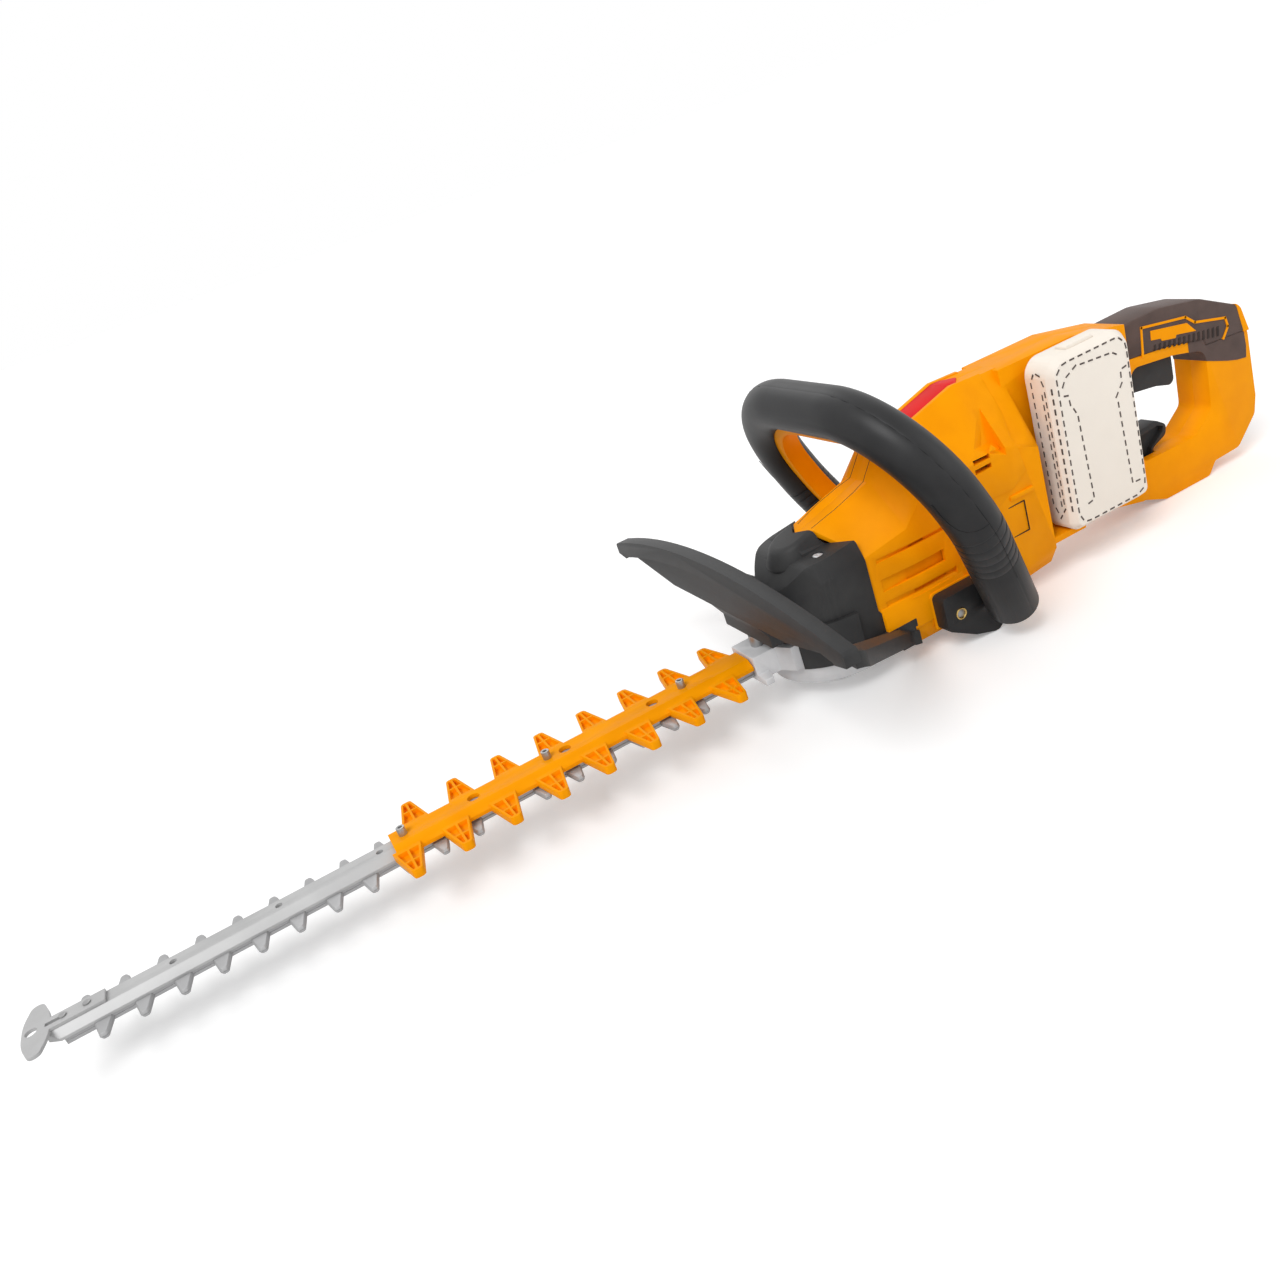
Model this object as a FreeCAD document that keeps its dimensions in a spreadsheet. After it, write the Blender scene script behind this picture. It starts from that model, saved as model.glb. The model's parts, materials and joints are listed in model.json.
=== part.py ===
"""A cordless hedge trimmer with a double-acting blade, a bow handle and a D-shaped rear handle.

Millimetres. X runs from the blade tip to the rear handle, Y to the tool's right, Z up. Every piece is drawn in the
blade's frame, whose origin is the first tooth on the plane between the two blades. Its Placement then moves it, so
that the model's origin is on the ground under the crank.
"""

import FreeCAD, Part
import math
import os

import Sketcher
from FreeCAD import Placement, Rotation, Vector

SIZES = [
    # blades
    ("tooth_pitch", 25, "from one tooth to the next on one side of a blade"),
    ("tooth_count", 19, "teeth on each side of a blade"),
    ("tooth_first", 2.7, "first left tooth"),
    ("tooth_shift", 12, "how far the right teeth sit ahead of the left ones"),
    ("tooth_reach", 27, "centre line to a tooth's tip"),
    ("tooth_root", 13, "width of a tooth at its root"),
    ("tooth_tip", 6, "width of a tooth at its tip"),
    ("edge_bevel", 24, "degrees that a ground edge leans in"),
    ("spine_half", 11, "half the width of a blade's plain strip"),
    ("blade_thick", 2.2, "thickness of a blade"),
    ("blade_play", 0.1, "gap on each face of a blade"),
    ("blade_front", 21, "how far the strip runs ahead of the origin"),
    ("blade_travel", 6.25, "how far a blade moves each way"),
    ("bolt_first", 50, "origin to the first bar bolt"),
    ("bolt_pitch", 70, "between the bar bolts"),
    ("bolt_count", 6, "bar bolts"),
    ("bolt_radius", 2.5, "shank of a bar bolt"),
    ("head_radius", 4.5, "head of a bar bolt"),
    ("head_high", 2.2, "height of a bar bolt's head"),
    # support bar and tip plate
    ("bar_front", 30, "how far the bar runs ahead of the origin"),
    ("bar_seat", 22, "how far the bar runs into the clamp block"),
    ("bar_high", 6.1, "height of the bar"),
    ("bar_half", 12, "half the width of the bar's feet"),
    ("bar_foot", 1.8, "thickness of the bar's feet"),
    ("bar_ledge", 8.5, "half the width of the bar's ledge"),
    ("bar_deck", 6.5, "half the width of the bar's deck"),
    ("bar_step", 1.6, "height from the bar's ledge to its deck"),
    ("bar_groove", 4.5, "half the width of the groove under the bar"),
    ("tip_wide", 27.2, "half the width of the tip plate"),
    ("tip_long", 8.6, "half the length of the tip plate"),
    ("tip_bend", 50, "radius of the tip plate's long sides"),
    ("tip_corner", 4.5, "radius of the tip plate's ends"),
    ("tip_ahead", 34.6, "how far the tip plate's middle stands ahead of the origin"),
    ("tip_thick", 2.5, "thickness of the tip plate and its tongue"),
    ("tip_hole", 3.8, "radius of the hanging hole"),
    ("hole_ahead", 37.4, "how far the hanging hole stands ahead of the origin"),
    ("slot_front", 29, "how far the slot in the tongue starts ahead of the origin"),
    ("slot_rear", 19.6, "how far the slot in the tongue ends ahead of the origin"),
    ("slot_half", 1.9, "half the width of the slot in the tongue"),
    ("tongue_half", 6.3, "half the width of the tongue"),
    ("tongue_end", 8, "origin to the rear end of the tongue"),
    # finger guard
    ("guard_start", 199.4, "origin to the guard's front end"),
    ("guard_top", 12, "blade plane to the guard's top"),
    ("guard_deck", 9, "half the width of the guard's top"),
    ("guard_skirt", 15.5, "half the width of the guard's skirt"),
    ("guard_bend", 7.2, "blade plane to the bend of the guard's skirt"),
    ("finger_first", 206.5, "first left finger"),
    ("finger_pitch", 34.7, "from one finger to the next"),
    ("finger_count", 8, "fingers on each side"),
    ("finger_shift", 13.2, "how far the right fingers sit behind the left ones"),
    ("finger_reach", 45, "centre line to a finger's tip"),
    ("finger_root", 20, "width of a finger at its root"),
    ("finger_tip", 7, "width of a finger at its tip"),
    ("finger_low", 3.2, "blade plane to a finger's underside"),
    ("finger_high", 6, "thickness of a finger"),
    ("finger_wall", 1.6, "walls and ribs of a finger"),
    ("finger_dish", 3.4, "depth of a finger's hollow top"),
    ("post_first", 208.5, "origin to the first guard post"),
    ("post_pitch", 108, "between the guard posts"),
    ("post_radius", 3, "radius of a guard post"),
    ("post_high", 6, "height of a post above the guard"),
    # clamp block
    ("clamp_front", 476, "origin to the clamp block"),
    ("clamp_step", 501, "origin to where the clamp block widens"),
    ("clamp_rear", 516, "origin to the rear of the clamp block's wings"),
    ("clamp_half", 15.8, "half the width of the clamp block"),
    ("clamp_wide", 28, "half the width of the clamp block's wings"),
    ("clamp_rise", 14, "blade plane to the top of the clamp block"),
    ("clamp_drop", 5.2, "blade plane to the foot of the clamp block"),
    ("lug_wide", 10, "width of the cast lugs beside the clamp's mouth"),
    ("clamp_bolt", 5, "radius of the clamp bolt's head"),
    ("bolt_high", 9, "height of the clamp bolt's head"),
    # gearcase and drive
    ("crank_at", 548, "origin to the crank's axis"),
    ("ground_drop", 35, "blade plane to the ground"),
    ("case_radius", 47, "outside of the gearcase"),
    ("case_wall", 3.5, "wall of the gearcase"),
    ("case_drop", 20, "blade plane to the foot of the gearcase"),
    ("case_split", 3.2, "blade plane to the joint of the gearcase halves"),
    ("case_rise", 13, "blade plane to the top of the gearcase"),
    ("boss_radius", 20, "radius of the foot boss"),
    ("lobe_radius", 17, "outside of the gearcase round the pinion"),
    ("gear_module", 1.25, "module of the gear pair"),
    ("gear_teeth", 64, "teeth of the crank gear"),
    ("pinion_teeth", 11, "teeth of the pinion"),
    ("gear_wide", 6, "face width of the crank gear"),
    ("backlash", 0.35, "centre distance beyond the pitch circles"),
    ("disc_radius", 13, "radius of an eccentric"),
    ("disc_thick", 2.6, "thickness of an eccentric"),
    ("yoke_wall", 6, "width of metal round a blade's yoke slot"),
    ("crank_shaft", 5, "radius of the crank's shaft"),
    ("bearing_wide", 6, "width of a bearing"),
    ("bearing_ring", 6, "bore to outside of a bearing"),
    ("fit", 0.05, "radial clearance of a running fit"),
    ("gap", 0.4, "clearance between pieces that only lie side by side"),
    # motor
    ("stator_radius", 26, "outside of the motor"),
    ("stator_bore", 15, "bore of the stator"),
    ("stator_high", 36, "height of the stator"),
    ("rotor_shaft", 3, "radius of the motor's shaft"),
    ("fan_radius", 21, "radius of the cooling fan"),
    ("fan_high", 9, "height of the cooling fan"),
    ("vane_thick", 1.4, "thickness of the fan's disc and vanes"),
    ("fan_blades", 12, "blades of the cooling fan"),
    # body
    ("wall", 3, "wall of the mouldings"),
    ("nose_radius", 46, "radius of the nose cover in plan"),
    ("nose_rise", 58, "blade plane to the nose cover's shoulder"),
    ("nose_top", 82, "blade plane to the nose cover's top"),
    ("nose_rear", 566, "origin to the joint of nose cover and housing at the sides"),
    ("nose_peak", 543, "origin to that joint on the centre line"),
    ("brow_low", 43, "blade plane to the upper edge of the nose at its front"),
    ("brow_at", 526, "origin to where the top of the nose levels out"),
    ("crown_in", 7, "how far the chamfer round the top of the nose runs in"),
    ("crown_down", 14, "how far that chamfer runs down"),
    ("dome_radius", 17, "foot radius of the cone on the nose cover"),
    ("dome_high", 12, "height of that cone"),
    ("dome_lean", 28, "degrees that the cone leans in"),
    ("body_half", 48, "half the width of the motor housing"),
    ("body_rear", 728, "origin to the rear of the motor housing's wide part"),
    ("body_low", 26, "blade plane to the foot of the motor housing"),
    ("ridge_half", 13, "half the width of the housing's top ridge"),
    ("shoulder", 34, "height of the sloping shoulder under the ridge"),
    ("body_peak", 132, "blade plane to the housing's highest ridge"),
    ("block_half", 20, "half the width of the block behind the motor housing"),
    ("block_rear", 838, "origin to the rear wall of the block"),
    # rear handle
    ("hand_half", 16, "half the width of the rear handle"),
    ("hand_rear", 973, "origin to the back of the rear handle"),
    ("hand_edge", 7, "rounding of the rear handle's edges"),
    ("grip_skin", 3, "thickness of the soft grip"),
    ("trigger_half", 7.5, "half the width of the trigger"),
    ("trigger_angle", 8, "degrees that the trigger turns"),
    # bow handle
    ("bow_radius", 18, "radius of the bow handle"),
    ("bow_half", 105, "centre line to the middle of a leg"),
    ("bow_foot", 76.5, "centre line to the middle of a foot"),
    ("bow_tall", 205, "height of the bow along its slope"),
    ("bow_round", 74, "radius of the bow's upper corners"),
    ("bow_knee", 108, "height along the slope where the legs bend in"),
    ("knee_round", 90, "radius of that bend"),
    ("bow_low", 18, "height along the slope of the feet"),
    ("bow_drop", 28, "blade plane to the foot of the slope"),
    ("bow_lean", 24, "degrees that the bow leans forward"),
    ("bow_at", 662, "origin to the bow's feet"),
    ("bail_half", 8, "half the width of the switch bail"),
    ("bail_deep", 10, "depth of the switch bail"),
    ("bail_proud", 6, "how far the switch bail stands out of the bow"),
    ("bail_travel", 4, "travel of the switch bail"),
    ("bracket_high", 44, "height of a foot bracket"),
    ("bracket_front", 608, "origin to the front of a foot bracket"),
    ("bracket_thick", 14, "thickness of a foot bracket"),
    # hand guard
    ("shield_at", 467, "origin to the hand guard's face"),
    ("shield_half", 168, "half the width of the hand guard"),
    ("shield_arch", 690, "radius of the hand guard's top edge"),
    ("shield_crest", 109, "blade plane to where the slopes of the top edge would meet"),
    ("shield_slope", 0.229, "fall of the top edge's ends"),
    ("shield_low", 49, "blade plane to the hand guard's lower edge"),
    ("shield_thick", 3.5, "thickness of the hand guard"),
    ("rim_high", 13, "height of the hand guard's rim"),
    ("skirt_long", 44, "crank axis to the rear of the hand guard's skirt"),
    ("rim_deep", 7, "how far the rim stands forward of the face"),
    ("neck_half", 34, "half the width of the neck under the hand guard"),
    ("sill_thick", 6, "thickness of the sill round the foot of the nose"),
    # battery pack
    ("pack_front", 739, "origin to the pack"),
    ("pack_long", 76, "width of the pack along the tool"),
    ("pack_low", 1, "how far the pack's foot lies under the blade plane"),
    ("pack_high", 133, "height of the pack"),
    ("pack_deep", 26, "thickness of the pack without its rails"),
    ("pack_corner", 14, "corner radius of the pack"),
    ("dock_deep", 8, "thickness of the dock"),
    ("rail_half", 22, "half the width across the pack's rails"),
    ("pack_lift", 74, "travel of the pack on its rails"),
]

doc = FreeCAD.newDocument("hedge_trimmer")
sheet = doc.addObject("Spreadsheet::Sheet", "sizes")
for row, (alias, number, note) in enumerate(SIZES, start=1):
    sheet.set("A%d" % row, note)
    sheet.set("B%d" % row, str(number))
    sheet.setAlias("B%d" % row, alias)
doc.recompute()


class Size:
    """A number together with the expression that ties it to the sheet."""

    def __init__(self, value, text):
        self.value = float(value)
        self.text = text

    def __float__(self):
        return self.value

    def __add__(self, other):
        other = size(other)
        return Size(self.value + other.value, "(%s + %s)" % (self.text, other.text))

    def __sub__(self, other):
        other = size(other)
        return Size(self.value - other.value, "(%s - %s)" % (self.text, other.text))

    def __mul__(self, other):
        other = size(other)
        return Size(self.value * other.value, "(%s * %s)" % (self.text, other.text))

    def __truediv__(self, other):
        other = size(other)
        return Size(self.value / other.value, "(%s / %s)" % (self.text, other.text))

    def __neg__(self):
        return Size(-self.value, "(0 - %s)" % self.text)

    def __radd__(self, other):
        return size(other) + self

    def __rsub__(self, other):
        return size(other) - self

    def __rmul__(self, other):
        return size(other) * self


def size(thing):
    """A number, or the name of a cell, as a Size."""
    if isinstance(thing, Size):
        return thing
    if isinstance(thing, str):
        return Size(sheet.get(thing), "sizes." + thing)
    if thing < 0:
        return Size(thing, "(0 - %r)" % -float(thing))
    return Size(thing, "%r" % float(thing))


class Cells:
    """The sheet's cells as attributes."""

    def __getattr__(self, name):
        return size(name)


d = Cells()
PIECES = []


# ---------------------------------------------------------------- helpers


def label(thing, name):
    """Name a finished piece and move it from the blade's frame to the model's frame."""
    thing.Label = name
    thing.setExpression("Placement.Base.x", (-d.crank_at).text)
    thing.setExpression("Placement.Base.z", d.ground_drop.text)
    PIECES.append(thing)
    return thing


def new_body(name):
    return doc.addObject("PartDesign::Body", name)


def piece(name):
    """A new body that is a finished piece."""
    return label(new_body(name), name)


def origin_feature(body, role):
    return [item for item in body.Origin.OriginFeatures if item.Role == role][0]


def sketch(body, plane, level=0, slide=(0, 0), turn=None):
    """A sketch on one of the body's origin planes, moved along its normal by level."""
    item = body.newObject("Sketcher::SketchObject", body.Name + "_sketch")
    item.AttachmentSupport = [(origin_feature(body, plane + "_Plane"), "")]
    item.MapMode = "FlatFace"
    if turn:
        item.AttachmentOffset = Placement(Vector(), turn)
    item.setExpression("AttachmentOffset.Base.x", size(slide[0]).text)
    item.setExpression("AttachmentOffset.Base.y", size(slide[1]).text)
    item.setExpression("AttachmentOffset.Base.z", size(level).text)
    return item


def pin_point(item, geometry, position, x, y):
    """Tie a point of a sketch to the sizes."""
    for kind, value in (("DistanceX", size(x)), ("DistanceY", size(y))):
        number = item.addConstraint(Sketcher.Constraint(kind, -1, 1, geometry, position, float(value)))
        item.setExpression("Constraints[%d]" % number, value.text)


def outline(item, corners):
    """A closed outline in a sketch. A corner is (x, y) or, where it is rounded, (x, y, radius)."""
    points = [Vector(float(c[0]), float(c[1]), 0) for c in corners]
    count = len(points)
    starts, ends, arcs = [], [], []
    for i, corner in enumerate(corners):
        if len(corner) == 2:
            starts.append(points[i])
            ends.append(points[i])
            arcs.append(None)
            continue
        radius = float(corner[2])
        back = (points[i - 1] - points[i]).normalize()
        ahead = (points[(i + 1) % count] - points[i]).normalize()
        reach = radius / math.tan(back.getAngle(ahead) / 2)
        first = points[i] + back * reach
        last = points[i] + ahead * reach
        middle = (back + ahead).normalize()
        centre = points[i] + middle * (radius / math.sin(back.getAngle(ahead) / 2))
        left_turn = back.cross(ahead).z < 0
        ends.append(first)
        starts.append(last)
        arcs.append((centre, radius, left_turn))
    lines = []
    for i in range(count):
        lines.append(item.addGeometry(Part.LineSegment(starts[i], ends[(i + 1) % count]), False))
    for i, corner in enumerate(corners):
        before, after = lines[i - 1], lines[i]
        if arcs[i] is None:
            item.addConstraint(Sketcher.Constraint("Coincident", before, 2, after, 1))
            pin_point(item, after, 1, corner[0], corner[1])
            continue
        centre, radius, left_turn = arcs[i]
        first, last = ends[i] - centre, starts[i] - centre
        angles = [math.atan2(first.y, first.x), math.atan2(last.y, last.x)]
        if not left_turn:
            angles.reverse()
        circle = Part.Circle(centre, Vector(0, 0, 1), radius)
        arc = item.addGeometry(Part.ArcOfCircle(circle, angles[0], angles[1]), False)
        begin, end = (1, 2) if left_turn else (2, 1)
        item.addConstraint(Sketcher.Constraint("Tangent", before, 2, arc, begin))
        item.addConstraint(Sketcher.Constraint("Tangent", arc, end, after, 1))
        number = item.addConstraint(Sketcher.Constraint("Radius", arc, radius))
        item.setExpression("Constraints[%d]" % number, size(corner[2]).text)
        mark = item.addGeometry(Part.Point(points[i]), True)
        item.addConstraint(Sketcher.Constraint("PointOnObject", mark, 1, before))
        item.addConstraint(Sketcher.Constraint("PointOnObject", mark, 1, after))
        pin_point(item, mark, 1, corner[0], corner[1])
    return item


def circle(item, x, y, radius):
    """A circle in a sketch."""
    x, y, radius = size(x), size(y), size(radius)
    number = item.addGeometry(Part.Circle(Vector(float(x), float(y), 0), Vector(0, 0, 1), float(radius)), False)
    constraint = item.addConstraint(Sketcher.Constraint("Radius", number, float(radius)))
    item.setExpression("Constraints[%d]" % constraint, radius.text)
    pin_point(item, number, 3, x, y)
    return item


def box_corners(left, right, low, high, radius=None):
    """The corners of a rectangle, rounded or not."""
    corners = [(left, low), (right, low), (right, high), (left, high)]
    if radius is None:
        return corners
    return [corner + (radius,) for corner in corners]


def pad(body, item, length, reverse=False, middle=False, taper=None):
    """Pad a sketch along its normal, or backwards, or both ways."""
    feature = body.newObject("PartDesign::Pad", body.Name + "_pad")
    feature.Profile = item
    feature.setExpression("Length", size(length).text)
    feature.Reversed = reverse
    feature.Midplane = middle
    if taper is not None:
        feature.setExpression("TaperAngle", size(taper).text)
    body.Tip = feature
    return feature


def pocket(body, item, length, reverse=False, middle=False):
    """Cut a sketch out of the body. By itself a pocket goes against the sketch's normal."""
    feature = body.newObject("PartDesign::Pocket", body.Name + "_pocket")
    feature.Profile = item
    feature.setExpression("Length", size(length).text)
    feature.Reversed = reverse
    feature.Midplane = middle
    body.Tip = feature
    return feature


def row_of(body, features, pitch, count):
    """Repeat features along X."""
    pattern = body.newObject("PartDesign::LinearPattern", body.Name + "_row")
    pattern.Originals = features
    pattern.Direction = (origin_feature(body, "X_Axis"), [""])
    pattern.setExpression("Length", (pitch * (count - 1)).text)
    pattern.setExpression("Occurrences", size(count).text)
    body.Tip = pattern
    return pattern


def polar(body, feature, count):
    """Repeat a feature all round the Z axis."""
    ring = body.newObject("PartDesign::PolarPattern", body.Name + "_ring")
    ring.Originals = [feature]
    ring.Axis = (origin_feature(body, "Z_Axis"), [""])
    ring.Angle = 360
    ring.setExpression("Occurrences", size(count).text)
    body.Tip = ring
    return ring


def plate(body, corners, low, high, cut=False):
    """Pad or cut an outline drawn in plan, from one height to another."""
    item = outline(sketch(body, "XY", low), corners)
    if cut:
        return pocket(body, item, size(high) - low, reverse=True)
    return pad(body, item, size(high) - low)


def disc(body, x, y, radius, low, high, cut=False):
    """Pad or cut a circle drawn in plan, from one height to another."""
    item = circle(sketch(body, "XY", low), x, y, radius)
    if cut:
        return pocket(body, item, size(high) - low, reverse=True)
    return pad(body, item, size(high) - low)


def side_plate(body, corners, left, right, cut=False):
    """Pad or cut an outline drawn from the side (X, Z), from y = left to y = right."""
    item = outline(sketch(body, "XZ", -size(right)), corners)
    if cut:
        return pocket(body, item, size(right) - left, reverse=True)
    return pad(body, item, size(right) - left)


def loft(body, items, subtract=False):
    """A ruled loft through sketches with equally many corners."""
    kind = "PartDesign::SubtractiveLoft" if subtract else "PartDesign::AdditiveLoft"
    feature = body.newObject(kind, body.Name + "_loft")
    feature.Profile = items[0]
    feature.Sections = items[1:]
    feature.Ruled = True
    body.Tip = feature
    return feature


def pipe(body, profile, path, subtract=False):
    """Sweep a profile along a path that starts in it."""
    kind = "PartDesign::SubtractivePipe" if subtract else "PartDesign::AdditivePipe"
    feature = body.newObject(kind, body.Name + "_pipe")
    feature.Profile = profile
    feature.Spine = path
    body.Tip = feature
    return feature


def cylinder(name, x, y, low, high, radius):
    """An upright cylinder as a primitive."""
    item = doc.addObject("Part::Cylinder", name)
    item.setExpression("Radius", size(radius).text)
    item.setExpression("Height", (size(high) - low).text)
    item.setExpression("Placement.Base.x", size(x).text)
    item.setExpression("Placement.Base.y", size(y).text)
    item.setExpression("Placement.Base.z", size(low).text)
    return item


def cut(name, base, tool):
    item = doc.addObject("Part::Cut", name)
    item.Base, item.Tool = base, tool
    return item


def fuse(name, shapes):
    item = doc.addObject("Part::MultiFuse", name)
    item.Shapes = shapes
    return item


def group(name, shapes):
    """Separate solids that share one node."""
    item = doc.addObject("Part::Compound", name)
    item.Links = shapes
    return item


# ---------------------------------------------------------------- heights and places that several pieces share

BLADE_TOP = d.blade_play + d.blade_thick
BAR_FOOT = BLADE_TOP + d.blade_play
BAR_TOP = BAR_FOOT + d.bar_high
GROUND = -d.ground_drop
GEAR_RADIUS = d.gear_module * d.gear_teeth / 2
PINION_RADIUS = d.gear_module * d.pinion_teeth / 2
PINION_AT = d.crank_at + GEAR_RADIUS + PINION_RADIUS + d.backlash
GEAR_LOW = -d.case_drop + d.case_wall + d.gap
GEAR_TOP = GEAR_LOW + d.gear_wide
GUARD_END = d.clamp_front - 1
FAN_LOW = d.case_rise + 1.5
STATOR_LOW = FAN_LOW + d.fan_high + 2
STATOR_TOP = STATOR_LOW + d.stator_high
GUARD_BASE = size(-1)
CASE_INSET = d.case_radius - d.nose_radius + d.wall + d.gap
BOLTS = [d.bolt_first + d.bolt_pitch * i for i in range(int(float(d.bolt_count)))]
POSTS = [d.post_first + d.post_pitch * i for i in range(3)]


OCTAGON = math.tan(math.pi / 8)


# ---------------------------------------------------------------- blades


def tooth(body, x, side, low, wide_low):
    """One ground tooth, drawn at the face where it cuts and leaning in away from it."""
    root, tip = d.tooth_root / 2, d.tooth_tip / 2
    corners = [
        (x - root, side * (d.spine_half - 2)),
        (x + root, side * (d.spine_half - 2)),
        (x + tip, side * (d.tooth_reach - 1.5)),
        (x + tip - 1.5, side * d.tooth_reach),
        (x - tip + 1.5, side * d.tooth_reach),
        (x - tip, side * (d.tooth_reach - 1.5)),
    ]
    if side < 0:
        corners.reverse()
    item = outline(sketch(body, "XY", low if wide_low else low + d.blade_thick), corners)
    return pad(body, item, d.blade_thick, reverse=not wide_low, taper=-d.edge_bevel)


def blade(name, low, wide_low):
    body = piece(name)
    top = low + d.blade_thick
    yoke_end = d.crank_at + d.disc_radius + d.yoke_wall
    yoke_half = d.disc_radius + d.blade_travel + d.yoke_wall / 2
    plate(body, box_corners(-d.blade_front, d.crank_at, -d.spine_half, d.spine_half), low, top)
    yoke = box_corners(d.crank_at - d.disc_radius - d.yoke_wall, yoke_end, -yoke_half, yoke_half, d.yoke_wall)
    plate(body, yoke, low, top)
    for x in BOLTS:
        half = d.bolt_radius + d.gap
        reach = half + d.blade_travel
        plate(body, box_corners(x - reach, x + reach, -half, half, d.bolt_radius), low, top, cut=True)
    reach = d.disc_radius + d.fit
    wide = reach + d.blade_travel
    slot = box_corners(d.crank_at - reach, d.crank_at + reach, -wide, wide, d.disc_radius / 2)
    plate(body, slot, low, top, cut=True)
    for first, side in ((d.tooth_first, -1), (d.tooth_first - d.tooth_shift, 1)):
        row_of(body, [tooth(body, first, side, low, wide_low)], d.tooth_pitch, d.tooth_count)
    return body


def blades():
    blade("upper_blade", d.blade_play, True)
    blade("lower_blade", -BLADE_TOP, False)


def bar_bolts():
    shanks = []
    for i, x in enumerate(BOLTS):
        low = -BLADE_TOP - d.blade_play
        shank = cylinder("bolt_shank_%d" % i, x, 0, low, BAR_TOP - d.bar_step, d.bolt_radius)
        head = cylinder("bolt_head_%d" % i, x, 0, low - d.head_high, low, d.head_radius)
        shanks.append(fuse("bolt_%d" % i, [shank, head]))
    return label(group("bar_bolts", shanks), "bar_bolts")


def bar_section(grow):
    """The bar's hat section in (Y, Z), grown all round by a clearance."""
    half = [
        (d.bar_half + grow, BAR_FOOT),
        (d.bar_half + grow, BAR_FOOT + d.bar_foot + grow),
        (d.bar_ledge + grow, BAR_TOP - d.bar_step + grow),
        (d.bar_deck + grow, BAR_TOP + grow),
    ]
    return half + [(-y, z) for y, z in reversed(half)]


def support_bar():
    body = piece("support_bar")
    item = outline(sketch(body, "YZ", -d.bar_front), bar_section(0))
    pad(body, item, d.bar_front + d.clamp_front + d.bar_seat)
    groove = box_corners(-d.bar_groove, d.bar_groove, BAR_FOOT, BAR_FOOT + d.bar_high / 2)
    item = outline(sketch(body, "YZ", -d.bar_front), groove)
    pocket(body, item, d.bar_front + d.clamp_front + d.bar_seat, reverse=True)
    for x in BOLTS:
        disc(body, x, 0, d.bolt_radius, BAR_FOOT, BAR_TOP, cut=True)
    plate(body, tip_slot(), BAR_FOOT, BAR_TOP, cut=True)
    for end in (-1, 1):
        corners = [(-d.bar_front, end * (d.bar_half + 1)), (-d.bar_front, end * d.bar_deck),
                   (-d.bar_front + 9, end * (d.bar_half + 1))]
        plate(body, corners if end < 0 else corners[::-1], BAR_FOOT, BAR_TOP, cut=True)
    return body


def tip_slot():
    """The slot through the tongue and the bar's deck."""
    return box_corners(-d.slot_front, -d.slot_rear, -d.slot_half, d.slot_half)


def tip_plate():
    """A flat oval across the bar's front end, on a tongue that lies along the bar's deck."""
    body = piece("tip_plate")
    top = BAR_TOP + d.tip_thick
    tongue = box_corners(-d.tip_ahead, d.tongue_end, -d.tongue_half, d.tongue_half)
    plate(body, tongue, BAR_TOP, top)
    ahead, long, wide = -d.tip_ahead, d.tip_long, d.tip_wide
    near, flat = long * OCTAGON, wide * OCTAGON
    oval = [
        (ahead + long, -flat, d.tip_bend), (ahead + long, flat, d.tip_bend),
        (ahead + near, wide, d.tip_corner), (ahead - near, wide, d.tip_corner),
        (ahead - long, flat, d.tip_bend), (ahead - long, -flat, d.tip_bend),
        (ahead - near, -wide, d.tip_corner), (ahead + near, -wide, d.tip_corner),
    ]
    plate(body, oval, BAR_TOP, top)
    plate(body, tip_slot(), BAR_TOP, top, cut=True)
    disc(body, -d.hole_ahead, 0, d.tip_hole, BAR_TOP, top, cut=True)
    return body


def tip_rivets():
    rivets = []
    for i, x in enumerate((-d.bar_front * 0.6, -d.bar_front * 0.1)):
        rivets.append(cylinder("rivet_%d" % i, x, 0, BAR_TOP + d.tip_thick, BAR_TOP + d.tip_thick + 1.2,
                               d.bolt_radius))
    return label(group("tip_rivets", rivets), "tip_rivets")


# ---------------------------------------------------------------- finger guard


def finger(body, x, side):
    """One finger: a tapered tray with a lengthwise rib and a cross rib. Returns its features."""
    top = d.finger_low + d.finger_high
    start = d.bar_half + d.gap * 2
    root, tip, end = d.finger_root / 2, d.finger_tip / 2, d.finger_reach
    corners = [(x - root, side * start), (x + root, side * start), (x + tip, side * end, tip * 0.8),
               (x - tip, side * end, tip * 0.8)]
    if side < 0:
        corners.reverse()
    features = [plate(body, corners, d.finger_low, top)]
    wall, rib = d.finger_wall, d.finger_wall / 2
    inner = d.guard_skirt + wall
    middle = (inner + end) / 2
    slope = (root - tip) / (end - start)
    for near, far in ((inner, middle - rib), (middle + rib, end - wall * 1.6)):
        for hand in (-1, 1):
            wide_near = root - slope * (near - start) - wall
            wide_far = root - slope * (far - start) - wall
            cell = [
                (x + hand * rib, side * near), (x + hand * wide_near, side * near),
                (x + hand * wide_far, side * far), (x + hand * rib, side * far),
            ]
            if side * hand < 0:
                cell.reverse()
            features.append(plate(body, cell, top - d.finger_dish, top, cut=True))
    return features


def finger_guard():
    body = piece("finger_guard")
    start, low = d.guard_start, BAR_FOOT + d.bar_foot + d.gap
    half = [(d.guard_skirt, low), (d.guard_skirt, d.guard_bend), (d.guard_deck, d.guard_top)]
    outer = half + [(-y, z) for y, z in reversed(half)]
    pad(body, outline(sketch(body, "YZ", start), outer), GUARD_END - start)
    pocket(body, outline(sketch(body, "YZ", start), bar_section(d.gap)), GUARD_END - start, reverse=True)
    for x in BOLTS:
        if float(x) > float(start):
            disc(body, x, 0, d.head_radius, BAR_TOP, d.guard_top, cut=True)
    for x in POSTS:
        disc(body, x, 0, d.post_radius, BAR_TOP, d.guard_top, cut=True)
    for first, side in ((d.finger_first, -1), (d.finger_first + d.finger_shift, 1)):
        row_of(body, finger(body, first, side), d.finger_pitch, d.finger_count)
    return body


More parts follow.
